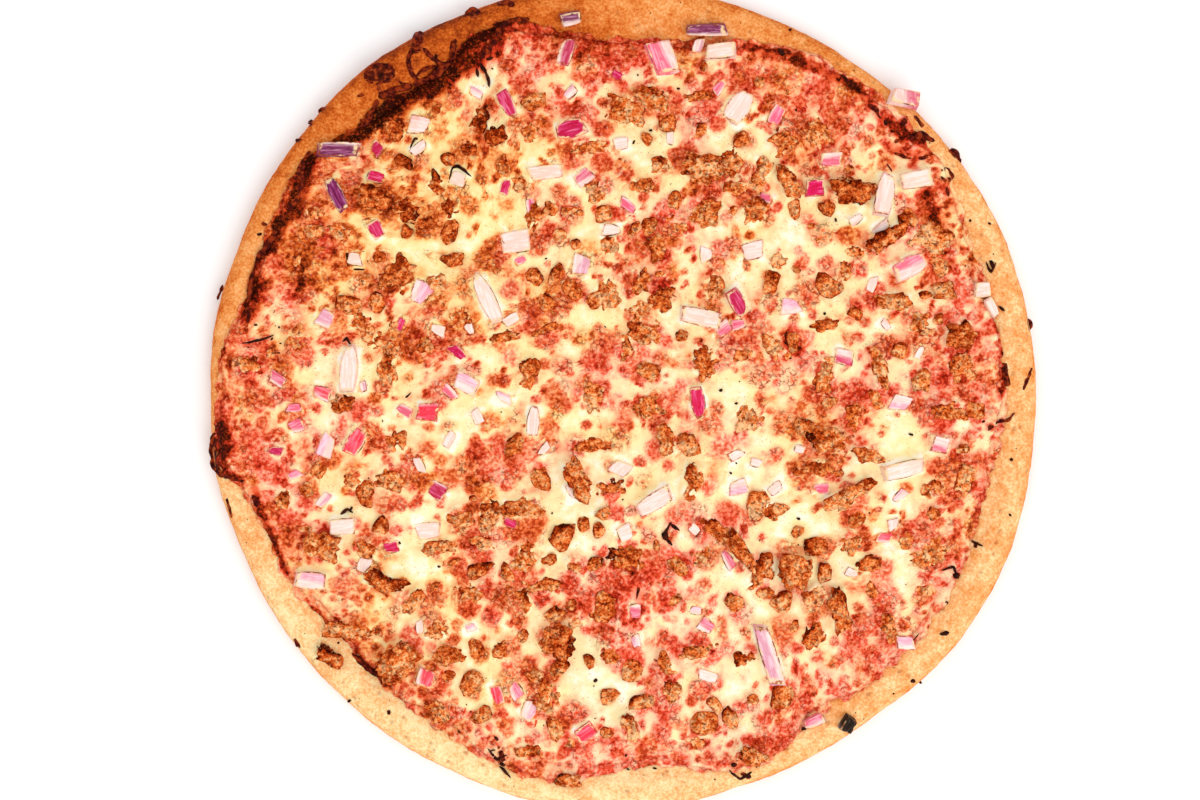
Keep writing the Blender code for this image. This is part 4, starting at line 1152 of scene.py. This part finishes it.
def crustMaterial():
    shader = Shader("baked crust")
    mottled = shader.patches(5.0, 4, 0.3, 0.7, -0.07, 0.07)
    grainy = shader.span(shader.grain(1.1, 4, rough=0.65), 0.32, 0.68, -0.10, 0.10)
    spots = shader.times(shader.value("under"), shader.patches(12, 3, 0.47, 0.68, 0.0, 0.34))
    bake = shader.plus(shader.value("bake"), mottled, grainy, spots)
    colour = shader.ramp(bake, [
        (0.00, "fee6ae"), (0.13, "f8d296"), (0.24, "f8b474"), (0.40, "e88e46"), (0.56, "d06420"),
        (0.70, "a84410"), (0.84, "74290a"), (1.00, "3c1408"),
    ])
    pitted = shader.times(shader.value("pit"), 0.55)
    colour = shader.mix(pitted, colour, linear("8a3c14"))
    stain = shader.span(shader.value("stain"), 0.35, 0.7)
    stainColour = shader.ramp(shader.grain(2.4, 4), [(0.34, "260702"), (0.5, "541404"), (0.64, "a8441a")])
    colour = shader.mix(stain, colour, stainColour)
    height = shader.times(shader.plus(shader.grain(0.9, 3), shader.grain(3.0, 2)), 0.6)
    rough = shader.span(stain, 0.0, 1.0, 0.7, 0.42)
    return shader.finish(colour, rough, shader.bump(height, 0.3, 0.7), shine=0.04)


crustPoints, crustFaces, crustValues = makeCrust()
bakedCrust = closePoles(makePiece("baked_crust", crustPoints, crustFaces, crustMaterial(), crustValues))
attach(bakedCrust, "root")
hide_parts("crust")


# The points and triangles of a ball of equal triangles.
def ball(subdivisions):
    work = bmesh.new()
    bmesh.ops.create_icosphere(work, subdivisions=subdivisions, radius=1)
    points = np.array([vert.co[:] for vert in work.verts])
    faces = np.array([[vert.index for vert in face.verts] for face in work.faces])
    work.free()
    return points, faces


crumb = {
    "crag": 0.42,  # shares of the size that the two noises push
    "lump": 0.28,
    "granule": 1.35,  # mm, as the next
    "granuleSize": 1.9,
    "push": (0.6, 1.4),  # least and greatest push of all three together
    # Painted shade that also passes for browning: how much darker each crumb's side away from the key light
    # is.
    "brownedAndShaded": 0.30,
    "shadedSide": (105, 45),  # azimuth of the side given painted shade, give or take
}


# Sausage crumbs: each ball point is stretched to the crumb's half sizes, pushed out or in by two
# noises and by granules of about 2 mm, then turned and moved to the crumb's place.
def makeCrumbs(places, subdivisions, seed):
    unit, triangles = ball(subdivisions)
    middles = np.array([place[0] for place in places])
    axes = np.array([place[1] for place in places])
    halves = np.array([place[2] for place in places])
    blocky = np.sign(unit) * np.abs(unit) ** 0.82
    local = blocky[None] * halves[:, None]
    flat = (local + middles[:, None] * 3.0).reshape(-1, 3)
    crags = layered(flat, 6.0, seed, 2).reshape(len(places), -1)
    lumps = layered(flat, 2.6, seed + 5, 2).reshape(len(places), -1)
    near = cells(flat, crumb["granuleSize"], seed + 7)[0]
    granules = (0.5 - near).reshape(len(places), -1)
    size = np.linalg.norm(local, axis=2)
    push = 0.97 + crumb["crag"] * crags + crumb["lump"] * lumps
    push = np.clip(push + crumb["granule"] * granules / np.maximum(size, 1.5), *crumb["push"])
    local = local * push[..., None]
    local[..., 2] = np.maximum(local[..., 2], -halves[:, None, 2] * 0.9)
    world = np.einsum("pij,pvi->pvj", axes, local) + middles[:, None]
    faces = (triangles[None] + (np.arange(len(places)) * len(unit))[:, None, None]).reshape(-1, 3)
    random = np.random.default_rng(seed)
    shade = random.uniform(-0.12, 0.12, len(places))
    # Painted shade: each crumb is darker on the side facing about the given azimuth, away from the key
    # light.
    facing = np.radians(random.normal(*crumb["shadedSide"], len(places)))
    towards = laidFlat(np.cos(facing), np.sin(facing))
    side = unit @ np.einsum("pij,pj->pi", axes, towards).T
    brownedAndShaded = ease(0.0, 0.9, side.T) * (crumb["brownedAndShaded"] * random.uniform(0.4, 1.4, len(places)))[:, None]
    shade -= bells(*middles[:, :2].T, darkPlaces)
    # The crevice value is painted shade: darker between granules and where the lumps lie low.
    values = {
        "creviceShade": np.clip((near - 0.45) * 2.5, -1, 1) - lumps.ravel() * 0.8,
        "height": (local[..., 2] / np.maximum(halves[:, None, 2], 0.5)).ravel(),
        "shade": (shade[:, None] - brownedAndShaded).ravel(),
        "film": layered(flat, 6.0, seed + 11, 2),
    }
    return world.reshape(-1, 3), faces, values


def crumbMaterial():
    shader = Shader("browned sausage")
    # Painted shade: darker in crevices.
    creviceShade = shader.times(shader.value("creviceShade"), -0.16)
    # Painted shade and light by height: darker toward the bottom, a little lighter at the top.
    height = shader.span(shader.value("height"), 0.0, 0.85, -0.16, 0.05)
    coarse = shader.patches(3.0, 3, 0.3, 0.7, -0.15, 0.15)
    fine = shader.patches(1.0, 3, 0.36, 0.64, -0.15, 0.13)
    mixed = shader.plus(0.66, creviceShade, height, coarse, fine, shader.value("shade"))
    colour = shader.ramp(mixed, [
        (0.05, "2a0802"), (0.20, "6c1c06"), (0.36, "ae3a0e"),
        (0.52, "dc6226"), (0.68, "f68c46"), (0.90, "ffc68c"),
    ])
    colour = shader.mix(shader.times(shader.veins(2.4, 0.30, 3.4), 0.5), colour, linear("701e06"))
    spots = shader.patches(1.6, 3, 0.55, 0.64, 0.0, 0.8)
    colour = shader.mix(spots, colour, linear("5c1604"))
    glints = shader.patches(0.9, 2, 0.62, 0.74, 0.0, 0.5)
    colour = shader.mix(glints, colour, linear("ffbe84"))
    film = shader.math("MULTIPLY_ADD", shader.value("height"), -0.6, shader.value("film"))
    film = shader.plus(film, shader.patches(1.5, 3, 0.3, 0.7, -0.4, 0.4))
    bare = shader.math("SUBTRACT", 1.0, spots)
    filmed = shader.times(shader.span(film, 0.25, 0.6, 0.0, 0.7), bare)
    cheesy = shader.ramp(shader.grain(2.2, 2), [(0.3, "fec88a"), (0.7, "f08850")])
    colour = shader.mix(filmed, colour, cheesy)
    bumped = shader.bump(shader.grain(0.8, 3, rough=0.65), 0.4, 1.0)
    return shader.finish(colour, 0.6, bumped, shine=0.0)


brownedAndShaded = crumbMaterial()
crumbPoints, crumbFaces, crumbValues = makeCrumbs(crumbPlaces, 4, 131)
sausageCrumbs = makePiece("sausage_crumbs", crumbPoints, crumbFaces, brownedAndShaded, crumbValues)
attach(sausageCrumbs, "root")
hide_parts(*crumbTurns)
bitPoints, bitFaces, bitValues = makeCrumbs(smallCrumbPlaces, 2, 171)
sausageBits = makePiece("small_sausage_bits", bitPoints, bitFaces, brownedAndShaded, bitValues)
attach(sausageBits, "root")


# A box of side 2 whose six faces are grids, with shared edges: points and quads.
def gridBox(cuts):
    line = np.linspace(-1, 1, cuts + 1)
    a, b = np.meshgrid(line, line, indexing="ij")
    one = np.ones_like(a)
    sides = [(a, b, one), (b, a, -one), (one, a, b), (-one, b, a), (b, one, a), (a, -one, b)]
    points = np.concatenate([np.stack(side, axis=-1).reshape(-1, 3) for side in sides])
    index = np.arange(len(points)).reshape(6, cuts + 1, cuts + 1)
    quads = np.stack([index[:, :-1, :-1], index[:, 1:, :-1], index[:, 1:, 1:], index[:, :-1, 1:]], axis=-1)
    keys = np.round(points * 1000).astype(int)
    first, back = np.unique(keys, axis=0, return_index=True, return_inverse=True)[1:]
    return points[first], back.reshape(-1)[quads.reshape(-1, 4)]


onion = {
    "cuts": 10,
    "round": 0.16,  # mm, as edge, the half width of a charred thread
    "uneven": 0.24,  # share of the half size that corners move: loose ones, and the rest
    "wild": 0.52,
    "taper": 0.10,
    "arch": 0.30,  # mm
    "tips": [0.85, 0.35],  # how far a petal's two ends narrow
    "tilt": 0.25,  # mm, as the next
    "waver": 0.10,
    "charred": 0.24,  # share of the upper edges that are charred
    "edge": 0.26,
}


# Gives a block its own form: four corners move, blended over the block by where a point is, the ends
# of a petal narrow to its tips, and the top arches and tilts. Corners and tips are shares of the half
# sizes, and arch and tilt are mm.
def uneven(spots, half, petal, corners, tips, tilt):
    u, v, w = (spots / half).T
    signs = [(i, j) for i in (-1, 1) for j in (-1, 1)]
    weights = [(0.5 + 0.5 * i * u) * (0.5 + 0.5 * j * v) for i, j in signs]
    moved = sum(weight[:, None] * corner * sign
                for weight, corner, sign in zip(weights, corners.reshape(4, 2), signs))
    narrow = 1 - onion["taper"] * (w * 0.5 + 0.5)
    pointed = 1 - np.where(u > 0, tips[0], tips[1]) * np.abs(u) ** 2
    rise = onion["arch"] * (0.4 - u ** 2) * (0.3 + petal) + tilt[0] * u + tilt[1] * v
    return np.stack([
        (spots[:, 0] + moved[:, 0] * half[0]) * narrow,
        (spots[:, 1] * pointed + moved[:, 1] * half[1]) * narrow,
        spots[:, 2] + rise * (w * 0.5 + 0.5),
    ], axis=1)


# Skin colour on one long side and part of the top, flesh elsewhere.
def onionTint(u, v, share, tone, petal, random):
    lean = -1 if petal == 0 else random.choice([-1, 1])
    reach = share * 2.4 - 1.2
    skinned = ease(-0.3, 0.3, reach + lean * v * 0.9 + 0.25 * u * random.uniform(-1, 1))
    skinned = np.maximum(skinned * (0.6 + 0.4 * share), 0.10)[:, None]
    flesh = np.array(linear(fleshTone)[:3]) * random.uniform(0.93, 1.0)
    skin = np.array(linear(tone)[:3]) * random.uniform(0.9, 1.1)
    return flesh * (1 - skinned) + skin * skinned


# Charred stretches of a block's upper edges: points along the edge and a half width.
def charredStretches(half, random):
    loop = np.array([(-1, -1), (1, -1), (1, 1), (-1, 1)])
    for side in range(4):
        if random.uniform() < onion["charred"]:
            start, end = loop[[side, (side + 1) % 4]]
            along = np.linspace(random.uniform(0, 0.2), random.uniform(0.7, 1), 7)[:, None]
            edge = start * (1 - along) + end * along
            edge = np.column_stack([edge * half[:2] * 0.99, np.full(len(edge), half[2] * 0.55)])
            yield edge, onion["edge"] * random.uniform(0.5, 1.0)


# Onion dice: a grid box whose edges are rounded by pulling each point towards an inner box, made
# uneven. Gives the points and faces, and the charred paths along some of the upper edges.
def makeOnions(places, seed):
    unit, quads = gridBox(onion["cuts"])
    outwards = unit / np.linalg.norm(unit, axis=1, keepdims=True)
    random = np.random.default_rng(seed)
    points = []
    paths = []
    shown = []
    for number, (middle, axes, half, share, tone, petal) in enumerate(places):
        core = np.maximum(half - onion["round"], half * 0.3)
        inner = np.clip(unit * half, -core, core)
        away = unit * half - inner
        length = np.linalg.norm(away, axis=1, keepdims=True)
        body = inner + away / np.maximum(length, 1e-6) * np.minimum(length, (half - core).max())
        most = onion["uneven"] if number < len(onionLooks) else onion["wild"]
        corners = random.uniform(-most, most * 0.7, (2, 2, 2)) * (1 - petal * 0.3)
        tips = random.permutation(onion["tips"]) * petal
        form = (half, petal, corners, tips, random.uniform(-onion["tilt"], onion["tilt"], 2))
        u, v, w = (body / half).T
        body = uneven(body, *form)
        body = body + onion["waver"] * layered(body + middle * 1.7, 3.0, seed, 2)[:, None] * outwards
        body[:, 2] = np.maximum(body[:, 2], -half[2])
        points.append(body @ axes + middle)
        tint = onionTint(u, v, share, tone, petal, random)
        fibre = body * (0.12, 1, 1) + random.uniform(0, 90, 3)
        rim = ease(0.62, 1.0, np.maximum(np.abs(u), np.abs(v))) * (0.3 + 0.7 * ease(0.2, 0.9, w))
        shown.append((tint, fibre, rim, np.full(len(u), random.uniform(0, 1))))
        for edge, thick in charredStretches(half, random):
            paths.append((uneven(edge, *form) @ axes + middle, thick))
    faces = np.concatenate([quads + k * len(unit) for k in range(len(places))])
    return np.concatenate(points), faces, gathered(("tint", "fibre", "rim", "char"), shown), paths


# Threads: each path is swept by a ring of points that shrinks to nothing at both ends. Flat gives
# the height of the ring as a share of its width.
def makeThreads(paths, sides=6, flat=1.0, power=0.5):
    points = []
    faces = []
    first = 0
    for path, thick in paths:
        path = np.asarray(path, float)
        steps = np.concatenate([[0], np.cumsum(np.linalg.norm(np.diff(path, axis=0), axis=1))])
        count = max(5, int(steps[-1] / 0.7))
        along = np.linspace(0, steps[-1], count)
        line = np.stack([np.interp(along, steps, path[:, k]) for k in range(3)], axis=1)
        line += 0.25 * np.stack([noise(line + 9 * k, 2.5, 351 + k) for k in range(3)], axis=1)
        ahead = np.gradient(line, axis=0)
        ahead /= np.linalg.norm(ahead, axis=1, keepdims=True)
        aside = np.cross(ahead, [0, 0, 1.0])
        aside /= np.maximum(np.linalg.norm(aside, axis=1, keepdims=True), 1e-6)
        above = np.cross(aside, ahead)
        swollen = thick * np.clip(np.sin(np.linspace(0, pi, count)), 0, 1) ** power + 0.01
        swollen *= 1 + 0.5 * noise(line, 1.6 + thick, 357)
        turn = np.arange(sides) * 2 * pi / sides
        ring = aside[:, None] * np.cos(turn)[None, :, None]
        ring = ring + flat * above[:, None] * np.sin(turn)[None, :, None]
        points.append((line[:, None] + ring * swollen[:, None, None]).reshape(-1, 3))
        faces += (ringFaces(count, sides) + first).tolist()
        cap = first + np.arange(sides)
        faces += [cap[::-1].tolist(), (cap + (count - 1) * sides).tolist()]
        first += count * sides
    return np.concatenate(points), faces


def onionMaterial():
    shader = Shader("red onion")
    node = shader.node("ShaderNodeTexNoise")
    shader.put(node.inputs["Vector"], shader.vector("fibre"))
    node.inputs["Scale"].default_value = 1.1
    node.inputs["Detail"].default_value = 3
    fibre = node.outputs["Fac"]
    ridge = shader.math("ABSOLUTE", shader.math("SUBTRACT", fibre, 0.5))
    streaks = shader.span(ridge, 0.01, 0.07, 1.0, 0.0)
    streaks = shader.times(streaks, shader.patches(2.5, 2, 0.4, 0.6))
    broad = shader.span(fibre, 0.38, 0.62, 0.0, 0.75)
    tint = shader.vector("tint")
    deeper = shader.mix(1.0, tint, tint, "MULTIPLY")
    colour = shader.mix(shader.math("MAXIMUM", streaks, broad), tint, deeper)
    lit = shader.span(shader.math("SUBTRACT", 1.0, fibre), 0.55, 0.72, 0.0, 0.5)
    colour = shader.mix(lit, colour, shader.mix(0.35, tint, linear("ffe0e8")))
    border = shader.span(shader.value("rim"), 0.55, 1.0, 0.0, 0.6)
    colour = shader.mix(border, colour, shader.mix(1.0, colour, linear("f2ac98"), "MULTIPLY"))
    melt = shader.plus(shader.value("rim"), shader.patches(4.0, 3, 0.3, 0.7, -0.5, 0.45))
    colour = shader.mix(shader.span(melt, 0.55, 1.1, 0.0, 0.85), colour, linear("fddcaa"))
    charred = shader.math("MULTIPLY_ADD", shader.value("char"), 0.5, shader.value("rim"))
    charred = shader.plus(charred, shader.patches(1.8, 2, 0.3, 0.7, -0.5, 0.3))
    colour = shader.mix(shader.span(charred, 1.15, 1.4, 0.0, 0.85), colour, linear("a8481e"))
    return shader.finish(colour, 0.35, shader.bump(fibre, 0.08, 0.5), shine=0.04)


onionPoints, onionFaces, onionValues, charredPaths = makeOnions(onionPlaces, 211)
dicedOnion = makePiece("diced_red_onion", onionPoints, onionFaces, onionMaterial(), onionValues)
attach(dicedOnion, "root")
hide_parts(*onionLooks)

burntBits = {
    "count": 230,
    "onRim": 0.3,  # share of them
    "rim": (160, 174),  # mm from the middle, as the next
    "inside": 162,
    "short": 0.6,
    "long": 2.3,
    "seed": 31,
}
burntSpots = [  # pixels and length in mm of the larger ones
    (780, 55, 4.2), (840, 80, 3.4), (884, 124, 3.8), (897, 136, 3.0), (790, 60, 2.6), (235, 333, 3.0),
    (990, 265, 4.6), (330, 655, 2.4), (350, 700, 3.0), (912, 680, 2.8), (921, 682, 3.0), (943, 632, 4.2),
    (497, 737, 3.4), (503, 762, 2.8), (733, 762, 3.0), (748, 774, 3.2), (665, 535, 4.6), (676, 528, 3.6),
    (462, 180, 4.4), (350, 258, 3.0), (370, 262, 3.0), (795, 348, 3.8), (788, 358, 2.6), (955, 575, 4.0),
    (975, 545, 3.0), (490, 60, 3.2), (556, 735, 2.6), (340, 345, 2.6), (352, 508, 2.6), (930, 556, 2.6),
]


# How high the top of the pizza lies, without its pieces: dough, sauce or cheese.
def levelAt(x, y):
    azimuth, radius = polar(x, y)
    onCheese = radius < cheeseEdge(azimuth) - 1
    onSauce = ~onCheese & (radius < sauceEdge(azimuth))
    level = np.where(onCheese, cheeseTop(azimuth, radius) + 0.35, crustHeight(azimuth, radius) + 0.1)
    thick = pizza["sauce"] + 0.1
    return np.where(onSauce, sauceBottom(azimuth, radius) + thick, level)


# Burnt bits: low balls of a few triangles, squashed and roughened, on the rim and over the topping.
def makeBurnt():
    random = np.random.default_rng(burntBits["seed"])
    spots = [(*onPizza((px, py)), length) for px, py, length in burntSpots]
    for k in range(burntBits["count"]):
        turn = random.uniform(0, 360)
        if random.uniform() < burntBits["onRim"]:
            radius = random.uniform(*burntBits["rim"])
        else:
            radius = burntBits["inside"] * np.sqrt(random.uniform())
        length = burntBits["short"] + (burntBits["long"] - burntBits["short"]) * random.uniform() ** 2.5
        spots.append((radius * np.cos(radians(turn)), radius * np.sin(radians(turn)), length))
    x, y, length = np.array(spots).T
    level = levelAt(x, y)
    unit, triangles = ball(1)
    halves = np.stack([length, length * random.uniform(0.45, 0.9, len(x)), length * 0.45], axis=1) / 2
    turns = random.uniform(0, pi, len(x))
    local = unit[None] * halves[:, None]
    flat = (local * 2 + np.stack([x, y, level], axis=1)[:, None] * 5).reshape(-1, 3)
    local = local * (1 + 0.5 * layered(flat, 2.0, 301, 2).reshape(len(x), -1))[..., None]
    c, s = np.cos(turns)[:, None], np.sin(turns)[:, None]
    world = np.stack([
        local[..., 0] * c - local[..., 1] * s + x[:, None],
        local[..., 0] * s + local[..., 1] * c + y[:, None],
        local[..., 2] + (level + halves[:, 2] * 0.3)[:, None],
    ], axis=-1)
    faces = (triangles[None] + (np.arange(len(x)) * len(unit))[:, None, None]).reshape(-1, 3)
    return world.reshape(-1, 3), faces


# Sauce that ran and baked on: pixels, and half width in mm.
sauceRunPaths = [
    ([(366, 81), (367, 72), (377, 66), (390, 67), (395, 74), (389, 82), (378, 85), (367, 82)], 1.0),
    ([(378, 86), (380, 93), (385, 99)], 0.7), ([(396, 80), (403, 85), (413, 84)], 0.6),
    ([(421, 30), (418, 40), (417, 52)], 2.3), ([(412, 36), (424, 33)], 1.3),
    ([(412, 50), (409, 63), (412, 75), (418, 81)], 1.0),
    ([(424, 50), (432, 58), (441, 64), (450, 66)], 1.1),
    ([(415, 79), (422, 71), (431, 68), (440, 66)], 0.8), ([(454, 42), (453, 54), (455, 67)], 1.3),
    ([(465, 15), (473, 11), (481, 16)], 1.7), ([(499, 5), (507, 4), (515, 7)], 1.6),
    ([(354, 142), (362, 132), (371, 116), (378, 100)], 1.6), ([(379, 98), (395, 90), (413, 86)], 1.8),
    ([(413, 85), (430, 79), (446, 68), (466, 63)], 2.0),
    ([(464, 64), (483, 58), (494, 42), (503, 30)], 1.9), ([(500, 30), (512, 22), (530, 20)], 1.2),
    ([(312, 152), (304, 166), (298, 182)], 1.4), ([(306, 160), (303, 180), (299, 200), (288, 214)], 1.5),
    ([(286, 216), (280, 232), (268, 248), (257, 262)], 1.2),
    ([(256, 268), (252, 288), (251, 310), (248, 334)], 1.1),
    ([(216, 432), (212, 448), (214, 466), (224, 476)], 1.7), ([(222, 474), (236, 478), (247, 480)], 1.1),
    ([(216, 300), (222, 284)], 0.7), ([(310, 118), (311, 125)], 1.4), ([(318, 113), (325, 107)], 1.2),
    ([(295, 142), (300, 139)], 1.0), ([(906, 117), (900, 127), (898, 135), (893, 145)], 1.2),
    ([(904, 139), (912, 141), (920, 135), (927, 140), (934, 142)], 1.5),
    ([(948, 151), (955, 155), (962, 162)], 2.1), ([(892, 153), (900, 157), (910, 160)], 0.9),
    ([(914, 158), (920, 160), (926, 157)], 0.9), ([(944, 188), (946, 198)], 0.6),
    ([(776, 50), (784, 56), (790, 60)], 1.1), ([(794, 62), (800, 66)], 0.8),
    ([(834, 77), (842, 80), (848, 85)], 1.1), ([(1002, 366), (1005, 376), (1004, 386)], 1.3),
    ([(988, 424), (992, 432)], 1.4), ([(1029, 318), (1031, 330)], 1.2),
    ([(1021, 390), (1026, 378), (1031, 367)], 0.6),
    ([(990, 426), (998, 421), (1007, 420), (1013, 412)], 0.7), ([(255, 494), (262, 510)], 1.2),
    ([(272, 534), (280, 546)], 1.1), ([(296, 640), (300, 646)], 1.0),
    ([(352, 652), (366, 666), (380, 676)], 1.1), ([(380, 678), (394, 686)], 0.9),
    ([(498, 744), (503, 754), (506, 763)], 1.1), ([(742, 771), (749, 777)], 0.9),
    ([(960, 488), (968, 486), (974, 482)], 1.3), ([(632, 568), (639, 582), (637, 600)], 0.7),
    ([(786, 345), (795, 352)], 1.3), ([(360, 97), (365, 96)], 0.7), ([(263, 224), (268, 227)], 0.7),
    ([(938, 172), (946, 170), (951, 177), (944, 184), (938, 178)], 0.8),
    ([(866, 106), (874, 112), (880, 121)], 1.0),
]
# Thin dark strands at the edges of pieces: pixels and half width in mm.
strandPaths = [
    ([(883, 162), (887, 166), (891, 173)], 0.5),
    ([(897, 179), (910, 172), (924, 170), (930, 169), (932, 178)], 0.5),
    ([(984, 262), (989, 274), (994, 262)], 0.5),
    ([(450, 182), (452, 169), (458, 166), (465, 171), (472, 178)], 0.8),
    ([(349, 269), (348, 252), (366, 252)], 0.6), ([(349, 269), (366, 270)], 0.6),
    ([(410, 152), (416, 139), (432, 144)], 0.5), ([(480, 60), (483, 69), (488, 77), (490, 89)], 0.8),
    ([(477, 68), (479, 79)], 0.6), ([(340, 345), (348, 338), (352, 346)], 0.6),
    ([(244, 344), (262, 340), (276, 335)], 0.5), ([(248, 347), (260, 352)], 0.5),
    ([(403, 401), (412, 392)], 0.4), ([(396, 335), (404, 322), (414, 334)], 0.4),
    ([(338, 520), (348, 508), (356, 514)], 0.7), ([(672, 520), (664, 534), (672, 546)], 0.9),
    ([(668, 522), (680, 530)], 0.8), ([(690, 528), (700, 540)], 0.4),
    ([(782, 340), (792, 350), (800, 345)], 0.7), ([(996, 306), (1003, 312)], 0.7),
    ([(488, 746), (498, 758), (508, 752)], 0.7), ([(500, 764), (512, 776)], 0.6),
    ([(728, 768), (740, 778), (752, 770)], 0.6), ([(940, 570), (952, 566), (956, 576)], 0.6),
    ([(970, 540), (982, 546)], 0.6), ([(898, 634), (912, 640), (918, 632)], 0.5),
]


# Paths in pixels laid on the pizza at a given height over it, in mm.
def laidPaths(rows, above):
    paths = []
    for places, thick in rows:
        x, y = onPizza(places).T
        steps = np.concatenate([[0], np.cumsum(np.hypot(np.diff(x), np.diff(y)))])
        along = np.linspace(0, steps[-1], 12)
        x, y = np.interp(along, steps, x), np.interp(along, steps, y)
        paths.append((np.stack([x, y, levelAt(x, y) + above], axis=1), thick))
    return paths


def runMaterial():
    shader = Shader("baked sauce")
    colour = shader.ramp(shader.grain(2.2, 4), [(0.32, "220502"), (0.48, "500e06"), (0.62, "94320f")])
    bumped = shader.bump(shader.grain(0.9, 3), 0.3, 0.8)
    return shader.finish(colour, 0.4, bumped, shine=0.04)


def burntMaterial():
    shader = Shader("burnt bits")
    colour = shader.ramp(shader.grain(1.5, 3), [(0.35, "120402"), (0.62, "481606")])
    bumped = shader.bump(shader.grain(0.6, 2), 0.2, 0.6)
    return shader.finish(colour, 0.5, bumped, shine=0.06)


burntLook = burntMaterial()
runPoints, runFaces = makeThreads(laidPaths(sauceRunPaths, 0.3), 10, 0.32, 0.25)
driedRuns = makePiece("dried_sauce_runs", runPoints, runFaces, runMaterial())
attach(driedRuns, "root")
strandPoints, strandFaces = makeThreads(laidPaths(strandPaths, 0.5))
sauceStrands = makePiece("dried_sauce_strands", strandPoints, strandFaces, burntLook)
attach(sauceStrands, "root")
edgePoints, edgeFaces = makeThreads(charredPaths)
charredEdges = makePiece("charred_onion_edges", edgePoints, edgeFaces, burntLook)
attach(charredEdges, "root")
burntPoints, burntFaces = makeBurnt()
burntPiece = makePiece("burnt_bits", burntPoints, burntFaces, burntLook)
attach(burntPiece, "root")

studio = {
    "height": 0.9,
    "lookAt": (-9.8, -1.9),  # mm: the frame's centre on the pizza
    "level": 8,  # mm over the floor, from where the height is taken
    "floorSize": 60.0,  # m, as the next
    "floor": -0.0002,
    "sky": 0.86,
    "key": 14.0,
    "keyPlace": (0.75, -0.85, 1.5),
    "keySize": 1.5,
    "fill": 2.0,
    "fillPlace": (-0.9, 0.7, 1.3),
    "fillSize": 1.4,
}


def makeFloor():
    half = studio["floorSize"] / 2
    corners = [(x * half, y * half, studio["floor"]) for x, y in ((-1, -1), (1, -1), (1, 1), (-1, 1))]
    mesh = bpy.data.meshes.new("floor")
    mesh.from_pydata(corners, [], [(0, 1, 2, 3)])
    shader = Shader("white floor")
    mesh.materials.append(shader.finish(linear("fcfcfc"), 0.9))
    floor = bpy.data.objects.new("floor", mesh)
    bpy.context.scene.collection.objects.link(floor)


def makeLight(name, place, size, power):
    data = bpy.data.lights.new(name, "AREA")
    data.shape = "DISK"
    data.size = size
    data.energy = power
    lamp = bpy.data.objects.new(name, data)
    lamp.location = place
    lamp.rotation_euler = (-Vector(place)).to_track_quat("-Z", "Y").to_euler()
    bpy.context.scene.collection.objects.link(lamp)


def makeCamera():
    data = bpy.data.cameras.new("camera")
    data.sensor_width = 36
    wide = photo["frameWide"] * pixel * mm
    data.lens = data.sensor_width * studio["height"] / wide
    camera = bpy.data.objects.new("camera", data)
    middleX, middleY = studio["lookAt"]
    camera.location = (middleX * mm, middleY * mm, studio["height"] + studio["level"] * mm)
    bpy.context.scene.collection.objects.link(camera)
    bpy.context.scene.camera = camera


makeFloor()
makeLight("key", studio["keyPlace"], studio["keySize"], studio["key"])
makeLight("fill", studio["fillPlace"], studio["fillSize"], studio["fill"])
makeCamera()
world = bpy.data.worlds.new("studio")
world.use_nodes = True
world.node_tree.nodes["Background"].inputs[0].default_value = (1, 1, 1, 1)
world.node_tree.nodes["Background"].inputs[1].default_value = studio["sky"]
bpy.context.scene.world = world
bpy.context.scene.view_settings.view_transform = "Standard"
print("studio ready")
